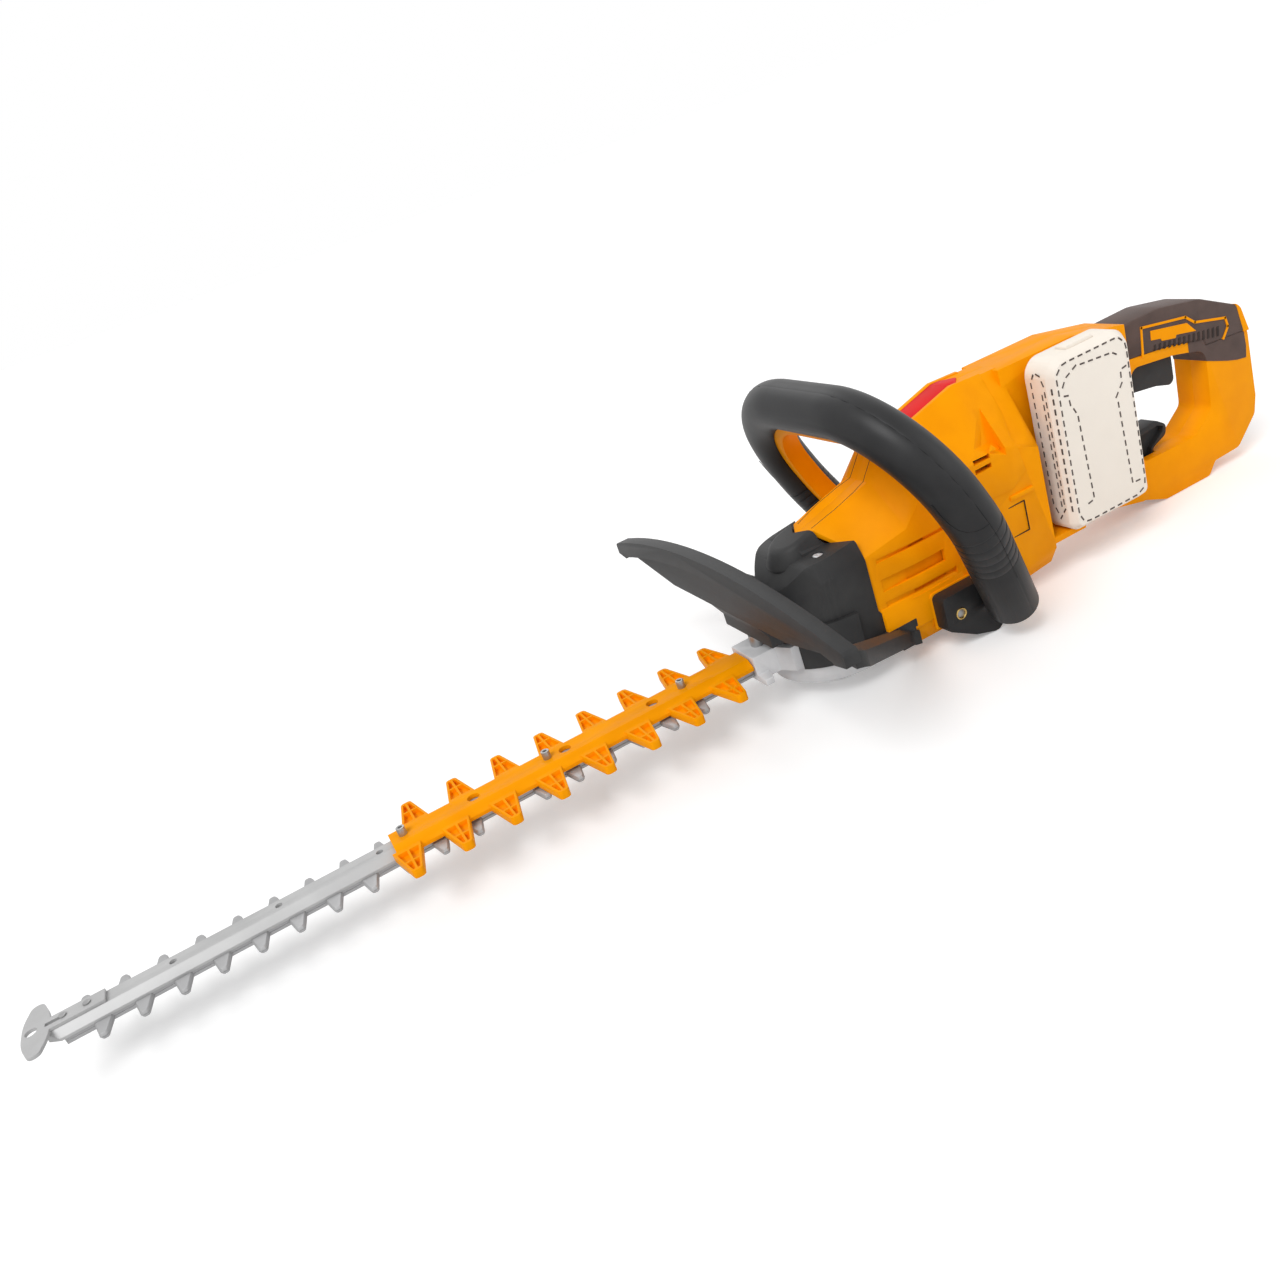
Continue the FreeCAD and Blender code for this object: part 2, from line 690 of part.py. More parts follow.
def guard_posts():
    posts = []
    for i, x in enumerate(POSTS):
        outside = cylinder("post_outside_%d" % i, x, 0, BAR_TOP, d.guard_top + d.post_high, d.post_radius)
        bore = cylinder("post_bore_%d" % i, x, 0, d.guard_top, d.guard_top + d.post_high, d.post_radius / 2)
        posts.append(cut("post_%d" % i, outside, bore))
    return label(group("guard_posts", posts), "guard_posts")


# ---------------------------------------------------------------- clamp block


def clamp_block():
    body = piece("clamp_block")
    low, top = -d.clamp_drop, d.clamp_rise
    rear = d.clamp_rear
    plan = [
        (d.clamp_front, -d.clamp_half), (d.clamp_step - 6, -d.clamp_half), (d.clamp_step, -d.clamp_wide),
        (rear, -d.clamp_wide), (rear, d.clamp_wide), (d.clamp_step, d.clamp_wide),
        (d.clamp_step - 6, d.clamp_half), (d.clamp_front, d.clamp_half),
    ]
    plate(body, plan, low, top)
    for side in (-1, 1):
        lug = [
            (d.clamp_front, side * (d.clamp_half - 1)), (d.clamp_front + d.lug_wide, side * (d.clamp_half - 1)),
            (d.clamp_front + d.lug_wide * 0.7, side * d.tooth_reach), (d.clamp_front, side * d.tooth_reach),
        ]
        plate(body, lug if side > 0 else lug[::-1], low, -d.blade_play)
    slot_low = -BLADE_TOP - d.blade_play
    slot = box_corners(d.clamp_front, rear, -d.spine_half - d.gap, d.spine_half + d.gap)
    plate(body, slot, slot_low, BAR_FOOT, cut=True)
    seat = outline(sketch(body, "YZ", d.clamp_front), bar_section(0))
    pocket(body, seat, d.bar_seat, reverse=True)
    disc(body, d.crank_at, 0, d.case_radius, low, top, cut=True)
    disc(body, d.clamp_front + 14, 0, d.clamp_bolt / 2, BAR_TOP, top, cut=True)
    return body


def clamp_bolt():
    x = d.clamp_front + 14
    shank = cylinder("clamp_shank", x, 0, BAR_TOP, d.clamp_rise, d.clamp_bolt / 2)
    head = cylinder("clamp_head", x, 0, d.clamp_rise, d.clamp_rise + d.bolt_high, d.clamp_bolt)
    return label(fuse("clamp_bolt", [shank, head]), "clamp_bolt")


# ---------------------------------------------------------------- gearcase


def case_outline(body, low, top, inset, cut=False):
    """The gearcase in plan: a round part for the crank gear and a lobe for the pinion."""
    lobe = d.lobe_radius - inset
    disc(body, d.crank_at, 0, d.case_radius - inset, low, top, cut)
    disc(body, PINION_AT, 0, lobe, low, top, cut)
    plate(body, box_corners(d.crank_at + d.case_radius / 2, PINION_AT, -lobe, lobe), low, top, cut)


def gearcase_lower():
    body = piece("gearcase_lower")
    shoulder = GUARD_BASE - d.gap
    disc(body, d.crank_at, 0, d.boss_radius, GROUND, -d.case_drop)
    case_outline(body, -d.case_drop, shoulder, size(0))
    case_outline(body, shoulder, d.case_split, CASE_INSET)
    case_outline(body, -d.case_drop + d.case_wall, -d.clamp_drop, d.case_wall, cut=True)
    case_outline(body, -d.clamp_drop, d.case_split, CASE_INSET + d.case_wall / 2, cut=True)
    mouth = box_corners(d.crank_at - d.case_radius - 2, d.crank_at, -d.spine_half - d.gap,
                        d.spine_half + d.gap)
    plate(body, mouth, -BLADE_TOP - d.blade_play, d.case_split, cut=True)
    bearing = d.crank_shaft + d.fit + d.bearing_ring
    disc(body, d.crank_at, 0, bearing, GROUND + 3, -d.case_drop + d.case_wall, cut=True)
    return body


def gearcase_upper():
    body = piece("gearcase_upper")
    case_outline(body, d.case_split, d.case_rise, CASE_INSET)
    case_outline(body, d.case_split, d.case_rise - d.bearing_wide - 1, CASE_INSET + d.case_wall / 2, cut=True)
    disc(body, d.crank_at, 0, d.crank_shaft + d.fit + d.bearing_ring, d.case_split, d.case_rise - 1, cut=True)
    disc(body, PINION_AT, 0, d.rotor_shaft + d.fit + d.bearing_ring, d.case_split, d.case_rise, cut=True)
    return body


def stand_at(wheel, name, x):
    """A wheel drawn round the model's origin, moved along X as a finished piece."""
    moved = label(group(name, [wheel]), name)
    moved.setExpression("Placement.Base.x", x.text)
    return moved


def bearing(name, x, low, bore):
    outside = cylinder(name + "_outside", x, 0, low, low + d.bearing_wide, bore + d.fit + d.bearing_ring)
    hole = cylinder(name + "_hole", x, 0, low, low + d.bearing_wide, bore + d.fit)
    return cut(name + "_ring", outside, hole)


def bearings():
    rings = [
        bearing("crank_low", d.crank_at, GROUND + 3, d.crank_shaft),
        bearing("crank_top", d.crank_at, d.case_rise - 1 - d.bearing_wide, d.crank_shaft),
        bearing("motor_low", PINION_AT, d.case_rise - d.bearing_wide, d.rotor_shaft),
        bearing("motor_top", PINION_AT, STATOR_TOP + 3, d.rotor_shaft),
    ]
    return label(group("bearings", rings), "bearings")


def gear_wheel(body, teeth, radius, bore, holes):
    """A spur gear: a disc at the root circle, and one tooth that is patterned round it."""
    module = d.gear_module
    root = radius - module * 1.15
    disc(body, 0, 0, root, GEAR_LOW, GEAR_TOP)
    disc(body, 0, 0, bore, GEAR_LOW, GEAR_TOP, cut=True)
    reach = (root + bore) / 2
    for i in range(holes):
        angle = math.radians(360 * i / holes)
        disc(body, reach * math.cos(angle), reach * math.sin(angle), radius * 0.17, GEAR_LOW, GEAR_TOP, cut=True)
    foot, flank, crest = module * 0.93, module * 0.69, module * 0.3
    corners = [
        (root - module, -foot), (root, -foot), (radius, -flank), (radius + module * 0.85, -crest),
        (radius + module * 0.85, crest), (radius, flank), (root, foot), (root - module, foot),
    ]
    polar(body, plate(body, corners, GEAR_LOW, GEAR_TOP), teeth)


def crank_gear():
    wheel = new_body("crank_gear_wheel")
    gear_wheel(wheel, d.gear_teeth, GEAR_RADIUS, d.crank_shaft, 6)
    return stand_at(wheel, "crank_gear", size(0))


def crankshaft():
    """The crank's shaft with its two eccentrics, half a turn apart, one on each side of the blades."""
    low = GROUND + 3.5
    shaft = cylinder("crank_rod", d.crank_at, 0, low, d.case_rise - 1.5, d.crank_shaft)
    lower = cylinder("lower_eccentric", d.crank_at, -d.blade_travel, -BLADE_TOP - d.gap - d.disc_thick,
                     -BLADE_TOP - d.gap, d.disc_radius)
    upper = cylinder("upper_eccentric", d.crank_at, d.blade_travel, BLADE_TOP + d.gap,
                     BLADE_TOP + d.gap + d.disc_thick, d.disc_radius)
    return label(fuse("crankshaft", [shaft, lower, upper]), "crankshaft")


# ---------------------------------------------------------------- motor


def motor_stator():
    body = piece("motor_stator")
    item = sketch(body, "XY", STATOR_LOW)
    circle(item, PINION_AT, 0, d.stator_radius)
    circle(item, PINION_AT, 0, d.stator_bore)
    pad(body, item, d.stator_high)
    return body


def fan_shroud():
    """The ring that carries the motor over its fan, open to the air at the sides."""
    body = piece("fan_shroud")
    item = sketch(body, "XY", d.case_rise)
    circle(item, PINION_AT, 0, d.stator_radius)
    circle(item, PINION_AT, 0, d.fan_radius + 1.5)
    pad(body, item, STATOR_LOW - d.case_rise)
    window = box_corners(-d.stator_radius * 0.5, d.stator_radius * 0.5, FAN_LOW, STATOR_LOW - 2)
    item = outline(sketch(body, "XZ", 0, slide=(PINION_AT, 0)), window)
    pocket(body, item, d.stator_radius * 2.5, middle=True)
    item = outline(sketch(body, "YZ", PINION_AT), window)
    pocket(body, item, d.stator_radius * 2.5, middle=True)
    return body


def motor_cap():
    """The bridge over the motor that holds its upper bearing."""
    body = piece("motor_cap")
    disc(body, PINION_AT, 0, d.stator_radius, STATOR_TOP, STATOR_TOP + d.wall + d.bearing_wide)
    disc(body, PINION_AT, 0, d.stator_radius - d.wall, STATOR_TOP, STATOR_TOP + d.wall, cut=True)
    disc(body, PINION_AT, 0, d.rotor_shaft + d.fit + d.bearing_ring, STATOR_TOP,
         STATOR_TOP + d.wall + d.bearing_wide, cut=True)
    return body


def rotor():
    body = piece("rotor")
    disc(body, PINION_AT, 0, d.rotor_shaft, GEAR_LOW, STATOR_TOP + d.wall + d.bearing_wide)
    disc(body, PINION_AT, 0, d.stator_bore - 0.5, STATOR_LOW, STATOR_TOP - 2)
    return body


def pinion():
    wheel = new_body("pinion_wheel")
    gear_wheel(wheel, d.pinion_teeth, PINION_RADIUS, d.rotor_shaft, 0)
    return stand_at(wheel, "pinion", PINION_AT - d.crank_at)


def fan():
    wheel = new_body("fan_wheel")
    top = FAN_LOW + d.fan_high
    disc(wheel, 0, 0, d.fan_radius, FAN_LOW, FAN_LOW + d.vane_thick)
    disc(wheel, 0, 0, d.fan_radius * 0.35, FAN_LOW, top)
    disc(wheel, 0, 0, d.rotor_shaft, FAN_LOW, top, cut=True)
    half = d.vane_thick / 2
    vane = box_corners(d.fan_radius * 0.3, d.fan_radius - half, -half, half)
    polar(wheel, plate(wheel, vane, FAN_LOW, top), d.fan_blades)
    return stand_at(wheel, "fan", PINION_AT - d.crank_at)



# ---------------------------------------------------------------- hand guard


def shield_corners(inset):
    """The hand guard from the front, an arch with low rounded ends. An inset outline is open below."""
    half, crest = d.shield_half - inset, d.shield_crest - inset
    shoulder = crest - half * d.shield_slope
    low = shoulder - 9 - inset
    foot = d.shield_low - inset
    return [
        (-half, low), (-half * 0.5, foot), (half * 0.5, foot), (half, low), (half, shoulder, 4),
        (0, crest, d.shield_arch - inset), (-half, shoulder, 4),
    ]


def common(name, first, second):
    item = doc.addObject("Part::Common", name)
    item.Base, item.Tool = first, second
    return item


def side_rims():
    """The rim that runs back from each end of the hand guard and down to the foot of the nose."""
    plan = new_body("side_rim_plan")
    thick = d.rim_deep
    rear = d.crank_at + d.skirt_long
    foot, half = d.nose_radius, d.shield_half - 1
    front = d.shield_at + d.rim_deep
    for side in (-1, 1):
        line = [
            (front, half - thick), (front, half), (front + 8, half, 10), (rear - 8, foot + 5, 12),
            (rear, foot + 4), (rear, foot), (rear - 12, foot, 8), (front + 6, half - thick - 4, 10),
        ]
        corners = [(c[0], side * c[1]) + tuple(c[2:]) for c in line]
        plate(plan, corners if side < 0 else corners[::-1], GROUND, d.shield_crest)
    profile = new_body("side_rim_profile")
    crest = d.shield_crest - half * d.shield_slope - 1.5
    line = [(d.shield_at - 1, crest), (front + 5, crest - 1, 20), (rear - 6, -9, 10), (rear + 1, -11)]
    under = [(c[0], c[1] - d.rim_high + 2) + tuple(c[2:]) for c in reversed(line)]
    side_plate(profile, under + line, -half - 1, half + 1)
    return common("side_rims", plan, profile)


def hand_guard():
    shield = new_body("shield")
    face = d.shield_at + d.rim_deep
    rear = face + d.shield_thick
    pad(shield, outline(sketch(shield, "YZ", d.shield_at), shield_corners(size(0))), rear - d.shield_at)
    dish = outline(sketch(shield, "YZ", d.shield_at), shield_corners(d.rim_high))
    pocket(shield, dish, d.rim_deep, reverse=True)
    neck = new_body("shield_neck")
    nose_front = d.crank_at - d.nose_radius
    low = d.clamp_rise + d.bolt_high + d.gap
    profile = [
        (face, d.shield_low + 2), (rear + 8, low + 9), (rear + 8, low), (nose_front + 8, low),
        (nose_front + 8, low + 4), (rear + 14, low + 5), (rear + 2, d.shield_low + 6), (face, d.shield_low + 6),
    ]
    side_plate(neck, profile, -d.neck_half, d.neck_half)
    disc(neck, d.crank_at, 0, d.nose_radius, 0, d.shield_low, cut=True)
    base = new_body("shield_base")
    outer = d.nose_radius + d.shield_thick
    sill = GUARD_BASE - d.sill_thick
    skirt_top = low + 2
    disc(base, d.crank_at, 0, outer, sill, GUARD_BASE)
    skirt_rear = d.crank_at + d.skirt_long
    plate(base, box_corners(d.crank_at, skirt_rear, -outer, outer), sill, GUARD_BASE)
    for side in (-1, 1):
        ear = box_corners(skirt_rear - 16, skirt_rear - 2, side * d.nose_radius, side * outer)
        plate(base, ear if side > 0 else ear[::-1], sill - 13, sill)
    disc(base, d.crank_at, 0, outer, GUARD_BASE, skirt_top)
    disc(base, d.crank_at, 0, d.nose_radius, GUARD_BASE, skirt_top, cut=True)
    rear_room = box_corners(d.crank_at, d.crank_at + outer + 1, -outer - 1, outer + 1)
    plate(base, rear_room, GUARD_BASE, skirt_top, cut=True)
    case_outline(base, sill, GUARD_BASE, size(0), cut=True)
    mouth = box_corners(d.crank_at - outer - 1, d.clamp_rear, -d.clamp_wide, d.clamp_wide)
    plate(base, mouth, sill, d.clamp_rise, cut=True)
    whole = fuse("hand_guard_whole", [shield, neck, base, side_rims()])
    return label(cut("hand_guard", whole, housing_front_room()), "hand_guard")


def housing_front_room():
    """The room that the housing takes behind the hand guard."""
    body = new_body("housing_room")
    rear = d.nose_rear + 60
    corners = [(d.nose_rear, 17), (d.nose_rear + 11, GUARD_BASE), (d.nose_rear + 24, -17),
               (d.nose_rear + 26, GROUND), (rear, GROUND), (rear, 17)]
    side_plate(body, corners, -d.body_half - 0.5, d.body_half + 0.5)
    return body


# ---------------------------------------------------------------- nose cover


def nose_crown(body):
    """Chamfer the upper edge of the nose, further down than in."""
    doc.recompute()
    base = body.Tip
    radius, middle, level = float(d.nose_radius), float(d.crank_at), float(d.clamp_rise)
    names = []
    for i, edge in enumerate(base.Shape.Edges, start=1):
        points = edge.discretize(5)
        walls = [math.hypot(min(p.x - middle, 0), p.y) for p in points]
        upright = math.hypot(points[0].x - points[-1].x, points[0].y - points[-1].y) < float(d.gap)
        if max(abs(w - radius) for w in walls) < float(d.fit) and points[2].z > level and not upright:
            names.append("Edge%d" % i)
    chamfer = body.newObject("PartDesign::Chamfer", body.Name + "_crown")
    chamfer.Base = (base, names)
    chamfer.ChamferType = 1
    chamfer.FlipDirection = True
    chamfer.setExpression("Size", d.crown_in.text)
    chamfer.setExpression("Size2", d.crown_down.text)


def nose_cover():
    body = piece("nose_cover")
    radius, wall, low = d.nose_radius, d.wall, GUARD_BASE
    high = d.nose_top + 10
    rear = d.nose_rear + 60
    disc(body, d.crank_at, 0, radius, low, d.nose_rise + 30)
    plate(body, box_corners(d.crank_at, d.nose_rear + 12, -radius, radius), low, d.nose_rise + 30)
    front = d.crank_at - radius - 1
    above = [(front, d.brow_low), (d.brow_at, d.nose_rise + 9, 14), (rear, d.nose_rise + 20),
             (rear, high + 1), (front, high + 1)]
    side_plate(body, above, -radius - 1, radius + 1, cut=True)
    nose_crown(body)
    peak = d.nose_peak
    ridge = [(d.brow_at + 8, d.nose_rise), (d.brow_at + 8, d.nose_rise + 14), (peak, d.nose_top),
             (d.nose_rear, d.nose_top + 15), (d.nose_rear, d.nose_rise)]
    side_plate(body, ridge, -d.ridge_half - 6, d.ridge_half + 6)
    for side in (-1, 1):
        flank = [(side * (d.ridge_half - 6), high + 8), (side * (d.ridge_half - 6), d.nose_top),
                 (side * (d.ridge_half + 6), d.nose_rise + 12), (side * (d.ridge_half + 7), high + 8)]
        item = outline(sketch(body, "YZ", d.brow_at + 6), flank if side < 0 else flank[::-1])
        pocket(body, item, rear - d.brow_at, reverse=True)
    dome = circle(sketch(body, "XY", d.nose_rise + 2), d.brow_at + 10, 0, d.dome_radius)
    pad(body, dome, d.dome_high, taper=-d.dome_lean)
    disc(body, d.crank_at, 0, radius - wall, low, d.nose_rise - wall - 28, cut=True)
    room = box_corners(d.crank_at, d.nose_rear + 12, -radius + wall, radius - wall)
    plate(body, room, low, d.nose_rise - wall - 14, cut=True)
    room = box_corners(d.crank_at + 4, d.nose_rear + 12, -d.ridge_half - 8, d.ridge_half + 8)
    plate(body, room, low, d.nose_rise + 6, cut=True)
    mouth = box_corners(front, d.clamp_rear, -d.clamp_wide - d.gap, d.clamp_wide + d.gap)
    plate(body, mouth, low, d.clamp_rise + d.gap, cut=True)
    wedge = [(d.nose_peak, 0), (d.nose_rear, -40), (d.nose_rear, -radius - 1), (rear, -radius - 1),
             (rear, radius + 1), (d.nose_rear, radius + 1), (d.nose_rear, 40)]
    plate(body, wedge, 17, high + 9, cut=True)
    corners = [(d.nose_rear, 17), (d.nose_rear + 11, low), (d.nose_rear + 16, low - 1), (rear, low - 1),
               (rear, 18), (d.nose_rear, 18)]
    side_plate(body, corners, -radius - 1, radius + 1, cut=True)
    for side in (-1, 1):
        disc(body, d.crank_at - 6, side * 27, 4, d.nose_rise + 4, high, cut=True)
    return body


def nose_screws():
    screws = []
    low = d.nose_rise + 4
    for i, side in enumerate((-1, 1)):
        screws.append(cylinder("nose_screw_%d" % i, d.crank_at - 6, side * 27, low, low + 3.5, 3.8))
    return label(group("nose_screws", screws), "nose_screws")


# ---------------------------------------------------------------- housing halves


def housing_sections(body, side, inset):
    """Half sections of the motor housing, from the nose to the battery."""
    low = -d.body_low
    stations = [
        (d.nose_peak, d.nose_top - 4, GUARD_BASE, d.nose_radius - 4, 24),
        (d.nose_rear, d.nose_top + 3, low, d.nose_radius - 1, 27),
        (d.nose_rear + 36, d.nose_top + 13, low, d.body_half, 30),
        (d.nose_rear + 49, d.nose_top + 30, low, d.body_half, d.shoulder),
        (d.nose_rear + 121, d.body_peak, low, d.body_half - 3, d.shoulder + 10),
        (d.body_rear, d.body_peak - 1, low + 3, d.body_half - 5, d.shoulder + 24),
    ]
    items = []
    for x, top, foot, half, shoulder in stations:
        half = half - inset
        corners = [
            (0, foot + inset), (side * (half - 9), foot + inset), (side * half, foot + inset + 14),
            (side * half, top - shoulder), (side * (d.ridge_half - inset * 0.4), top - inset), (0, top - inset),
        ]
        items.append(outline(sketch(body, "YZ", x), corners if side > 0 else corners[::-1]))
    return items


def housing_half(name, side):
    body = piece(name)

    def near(half):
        return (0, half) if side > 0 else (-half, 0)

    loft(body, housing_sections(body, side, size(0)))
    block = [
        (d.body_rear - 4, -6), (d.body_rear + 32, -6), (d.block_rear, -24), (d.block_rear + 6, -24),
        (d.block_rear + 6, d.body_peak - 12), (d.block_rear - 45, d.body_peak - 2),
        (d.body_rear - 4, d.body_peak - 1.5),
    ]
    side_plate(body, block, *near(d.block_half))
    if side < 0:
        shelf = box_corners(d.body_rear - 4, d.pack_front + 19, -d.pack_low - 5, -d.pack_low - d.gap)
        side_plate(body, shelf, *near(d.body_half - 5))
    loft(body, housing_sections(body, side, d.wall), subtract=True)
    room = box_corners(d.body_rear - 6, d.block_rear - d.wall, 0, d.body_peak - 22, 4)
    side_plate(body, room, *near(d.block_half - d.wall), cut=True)
    hand = [
        (d.block_rear, -24), (d.block_rear + 28, GROUND, 10), (d.block_rear + 76, GROUND, 4),
        (d.block_rear + 84, -25, 4), (d.hand_rear - 24, -24, 8), (d.hand_rear - 3, -3, 8), (d.hand_rear, 12, 10),
        (d.hand_rear - 2, 66, 20), (d.hand_rear - 9, 90, 12), (d.hand_rear - 49, 108, 30),
        (d.hand_rear - 90, 116.5, 40), (d.block_rear, d.body_peak - 15),
    ]
    side_plate(body, hand, *near(d.hand_half))
    hole = [
        (d.block_rear + 9, 5, 6), (d.hand_rear - 70, 4, 8), (d.hand_rear - 49, 20, 8), (d.hand_rear - 48, 69, 12),
        (d.hand_rear - 81, 77, 20), (d.block_rear + 9, 83, 8),
    ]
    side_plate(body, hole, *near(d.hand_half + 1), cut=True)
    side_plate(body, grip_outline(), *near(d.hand_half + 1), cut=True)
    side_plate(body, grip_core(), *near(d.hand_half - d.grip_skin))
    trigger_room = box_corners(d.block_rear + 12, d.block_rear + 64, 60, 98, 2)
    side_plate(body, trigger_room, *near(d.trigger_half + d.gap), cut=True)
    front = d.nose_peak - 9
    joint = [
        (d.nose_peak, 0), (d.nose_rear, side * 40), (d.nose_rear, side * (d.nose_radius + 4)),
        (front, side * (d.nose_radius + 4)), (front, 0),
    ]
    plate(body, joint if side < 0 else joint[::-1], GROUND, d.body_peak, cut=True)
    corners = [
        (front, GROUND), (d.nose_rear + 26, GROUND), (d.nose_rear + 24, -17),
        (d.nose_rear + 11, GUARD_BASE), (d.nose_rear, 17), (front, 17),
    ]
    side_plate(body, corners, *near(d.nose_radius + 4), cut=True)
    case_outline(body, GROUND, d.case_rise + d.gap, -d.gap, cut=True)
    lever = box_corners(d.block_rear - 2, d.block_rear + 32, -14, 30, 3)
    side_plate(body, lever, *near(d.trigger_half + d.gap), cut=True)
    return body


def grip_outline():
    """The soft grip from the side."""
    return [
        (d.hand_rear - 1.5, 68), (d.hand_rear - 9, 91, 12), (d.hand_rear - 49, 110.5, 30),
        (d.hand_rear - 90, 118.5, 40), (d.block_rear + 5, d.body_peak - 14), (d.block_rear + 5, 91),
        (d.hand_rear - 81, 85), (d.hand_rear - 50, 77), (d.hand_rear - 48, 72),
    ]


def grip_core():
    skin = d.grip_skin
    top = [
        (d.block_rear + 4, d.body_peak - 14 - skin), (d.hand_rear - 90, 118.5 - skin, 40),
        (d.hand_rear - 49, 110.5 - skin, 30), (d.hand_rear - 9 - skin, 91 - skin, 9),
        (d.hand_rear - 1.5 - skin, 67),
    ]
    low = [(d.hand_rear - 48, 71), (d.hand_rear - 50, 76), (d.hand_rear - 81, 84), (d.block_rear + 4, 90)]
    return top[::-1] + low[::-1]


def housings():
    housing_half("left_housing", -1)
    housing_half("right_housing", 1)


def rear_grip():
    body = piece("rear_grip")
    side_plate(body, grip_outline(), -d.hand_half - 1, d.hand_half + 1)
    side_plate(body, grip_core(), -d.hand_half + d.grip_skin, d.hand_half - d.grip_skin, cut=True)
    return body


def trigger():
    body = piece("trigger")
    half = d.trigger_half
    front, back = d.block_rear + 15, d.block_rear + 60
    corners = [(front, 90, 2), (front, 60, 4), (front + 26, 56, 6), (back, 50, 5), (back, 76, 3),
               (front + 25, 84), (front + 8, 92, 2)]
    side_plate(body, corners[::-1], -half, half)
    disc_side(body, front + 5, 86, 2 + d.fit, -half, half, cut=True)
    return body


def disc_side(body, x, z, radius, left, right, cut=False):
    """Pad or cut a circle drawn from the side."""
    item = circle(sketch(body, "XZ", -size(right)), x, z, radius)
    if cut:
        return pocket(body, item, size(right) - left, reverse=True)
    return pad(body, item, size(right) - left)


def side_pin(name, x, z, radius, half):
    pin = doc.addObject("Part::Cylinder", name)
    pin.setExpression("Radius", size(radius).text)
    pin.setExpression("Height", (size(half) * 2).text)
    pin.Placement = Placement(Vector(), Rotation(Vector(1, 0, 0), 90))
    pin.setExpression("Placement.Base.x", size(x).text)
    pin.setExpression("Placement.Base.y", size(half).text)
    pin.setExpression("Placement.Base.z", size(z).text)
    return pin


def trigger_pins():
    pins = [
        side_pin("trigger_pin", d.block_rear + 20, 86, 2, d.trigger_half + d.gap),
        side_pin("lever_pin", d.block_rear + 6, -7, 2, d.trigger_half + d.gap),
    ]
    return label(group("trigger_pins", pins), "trigger_pins")


def lock_lever():
    """The lever in the lower front corner of the rear handle."""
    body = piece("lock_lever")
    half = d.trigger_half
    front = d.block_rear
    corners = [(front + 2, -11, 2), (front + 24, -11, 3), (front + 29, 8, 6), (front + 44, 14, 5),
               (front + 46, 22, 5), (front + 36, 29, 5), (front + 12, 27, 4), (front + 2, 10)]
    side_plate(body, corners, -half, half)
    disc_side(body, front + 6, -7, 2 + d.fit, -half, half, cut=True)
    return body


def trigger_switch():
    body = piece("trigger_switch")
    side_plate(body, box_corners(d.block_rear + 30, d.block_rear + 58, 92.5, 98, 1), -6, 6)
    return body


def control_board():
    body = piece("control_board")
    side_plate(body, box_corners(d.body_rear + 10, d.block_rear - 20, 12, 96, 3), d.block_half - d.wall - 3,
               d.block_half - d.wall)
    for x in (30, 55, 72):
        side_plate(body, box_corners(d.body_rear + x - 6, d.body_rear + x + 6, 30, 50), d.block_half - d.wall - 13,
                   d.block_half - d.wall - 3)
    return body


def dock_frame():
    """The plate on the block's left side with the channels for the pack's rails."""
    body = piece("battery_dock")
    middle = d.pack_front + d.pack_long / 2
    inner, outer = -d.block_half, -d.block_half - d.dock_deep
    low, high = d.pack_low * -1 + 10, d.pack_high - 16
    side_plate(body, box_corners(middle - d.rail_half - 6, middle + d.rail_half + 6, low, high, 3), outer, inner)
    room = d.rail_half + d.gap
    side_plate(body, box_corners(middle - room, middle + room, low + 6, high + 5), inner - 5, inner - 1, cut=True)
    neck = d.rail_half - 7 + d.gap
    side_plate(body, box_corners(middle - neck, middle + neck, low + 6, high + 5), outer, inner - 5, cut=True)
    return body


def pack_terminals():
    """Three contact blades that stand on the dock's floor."""
    middle = d.pack_front + d.pack_long / 2
    floor = d.pack_low * -1 + 16
    blades = []
    for i in range(3):
        blade_box = doc.addObject("Part::Box", "terminal_%d" % i)
        blade_box.setExpression("Length", "6")
        blade_box.setExpression("Width", "1")
        blade_box.setExpression("Height", "14")
        blade_box.setExpression("Placement.Base.x", (middle - 3 + (i - 1) * 12).text)
        blade_box.setExpression("Placement.Base.y", (-d.block_half - 3.5).text)
        blade_box.setExpression("Placement.Base.z", floor.text)
        blades.append(blade_box)
    return label(group("pack_terminals", blades), "pack_terminals")


def battery_pack():
    body = piece("battery_pack")
    left, right = d.pack_front, d.pack_front + d.pack_long
    low, high = -d.pack_low, d.pack_high - d.pack_low
    inner = -d.block_half - d.dock_deep - d.gap
    outer = inner - d.pack_deep
    corner = d.pack_corner
    shape = [(left, low, corner * 0.6), (right, low, corner * 0.6), (right, high, corner), (left, high, corner)]
    side_plate(body, shape, outer + 6, inner)
    item = outline(sketch(body, "XZ", -(outer + 6)), shape)
    pad(body, item, 6, taper=-35)
    middle = (left + right) / 2
    rail_low, rail_high = 18, d.pack_high - 22
    neck = d.rail_half - 7
    side_plate(body, box_corners(middle - neck, middle + neck, rail_low, rail_high), inner, inner + 4.2)
    side_plate(body, box_corners(middle - d.rail_half, middle + d.rail_half, rail_low, rail_high),
               inner + 3.8, inner + 7)
    for i in range(3):
        x = middle + (i - 1) * 12
        slot = box_corners(x - 4, x + 4, rail_low, rail_low + 16)
        side_plate(body, slot, inner + 4, inner + 7, cut=True)
    latch = box_corners(middle - 13, middle + 13, high - 6, high + 1)
    side_plate(body, latch, outer + 8, outer + 20, cut=True)
    return body


def pack_latch():
    body = piece("pack_latch")
    middle = d.pack_front + d.pack_long / 2
    high = d.pack_high - d.pack_low
    outer = -d.block_half - d.dock_deep - d.gap - d.pack_deep
    side_plate(body, box_corners(middle - 12.6, middle + 12.6, high - 3, high + 2.5, 1.5), outer + 8.4, outer + 19.6)
    return body


# ---------------------------------------------------------------- bow handle

BOW_LEAN = Rotation(Vector(1, 0, 0), -float(d.bow_lean))


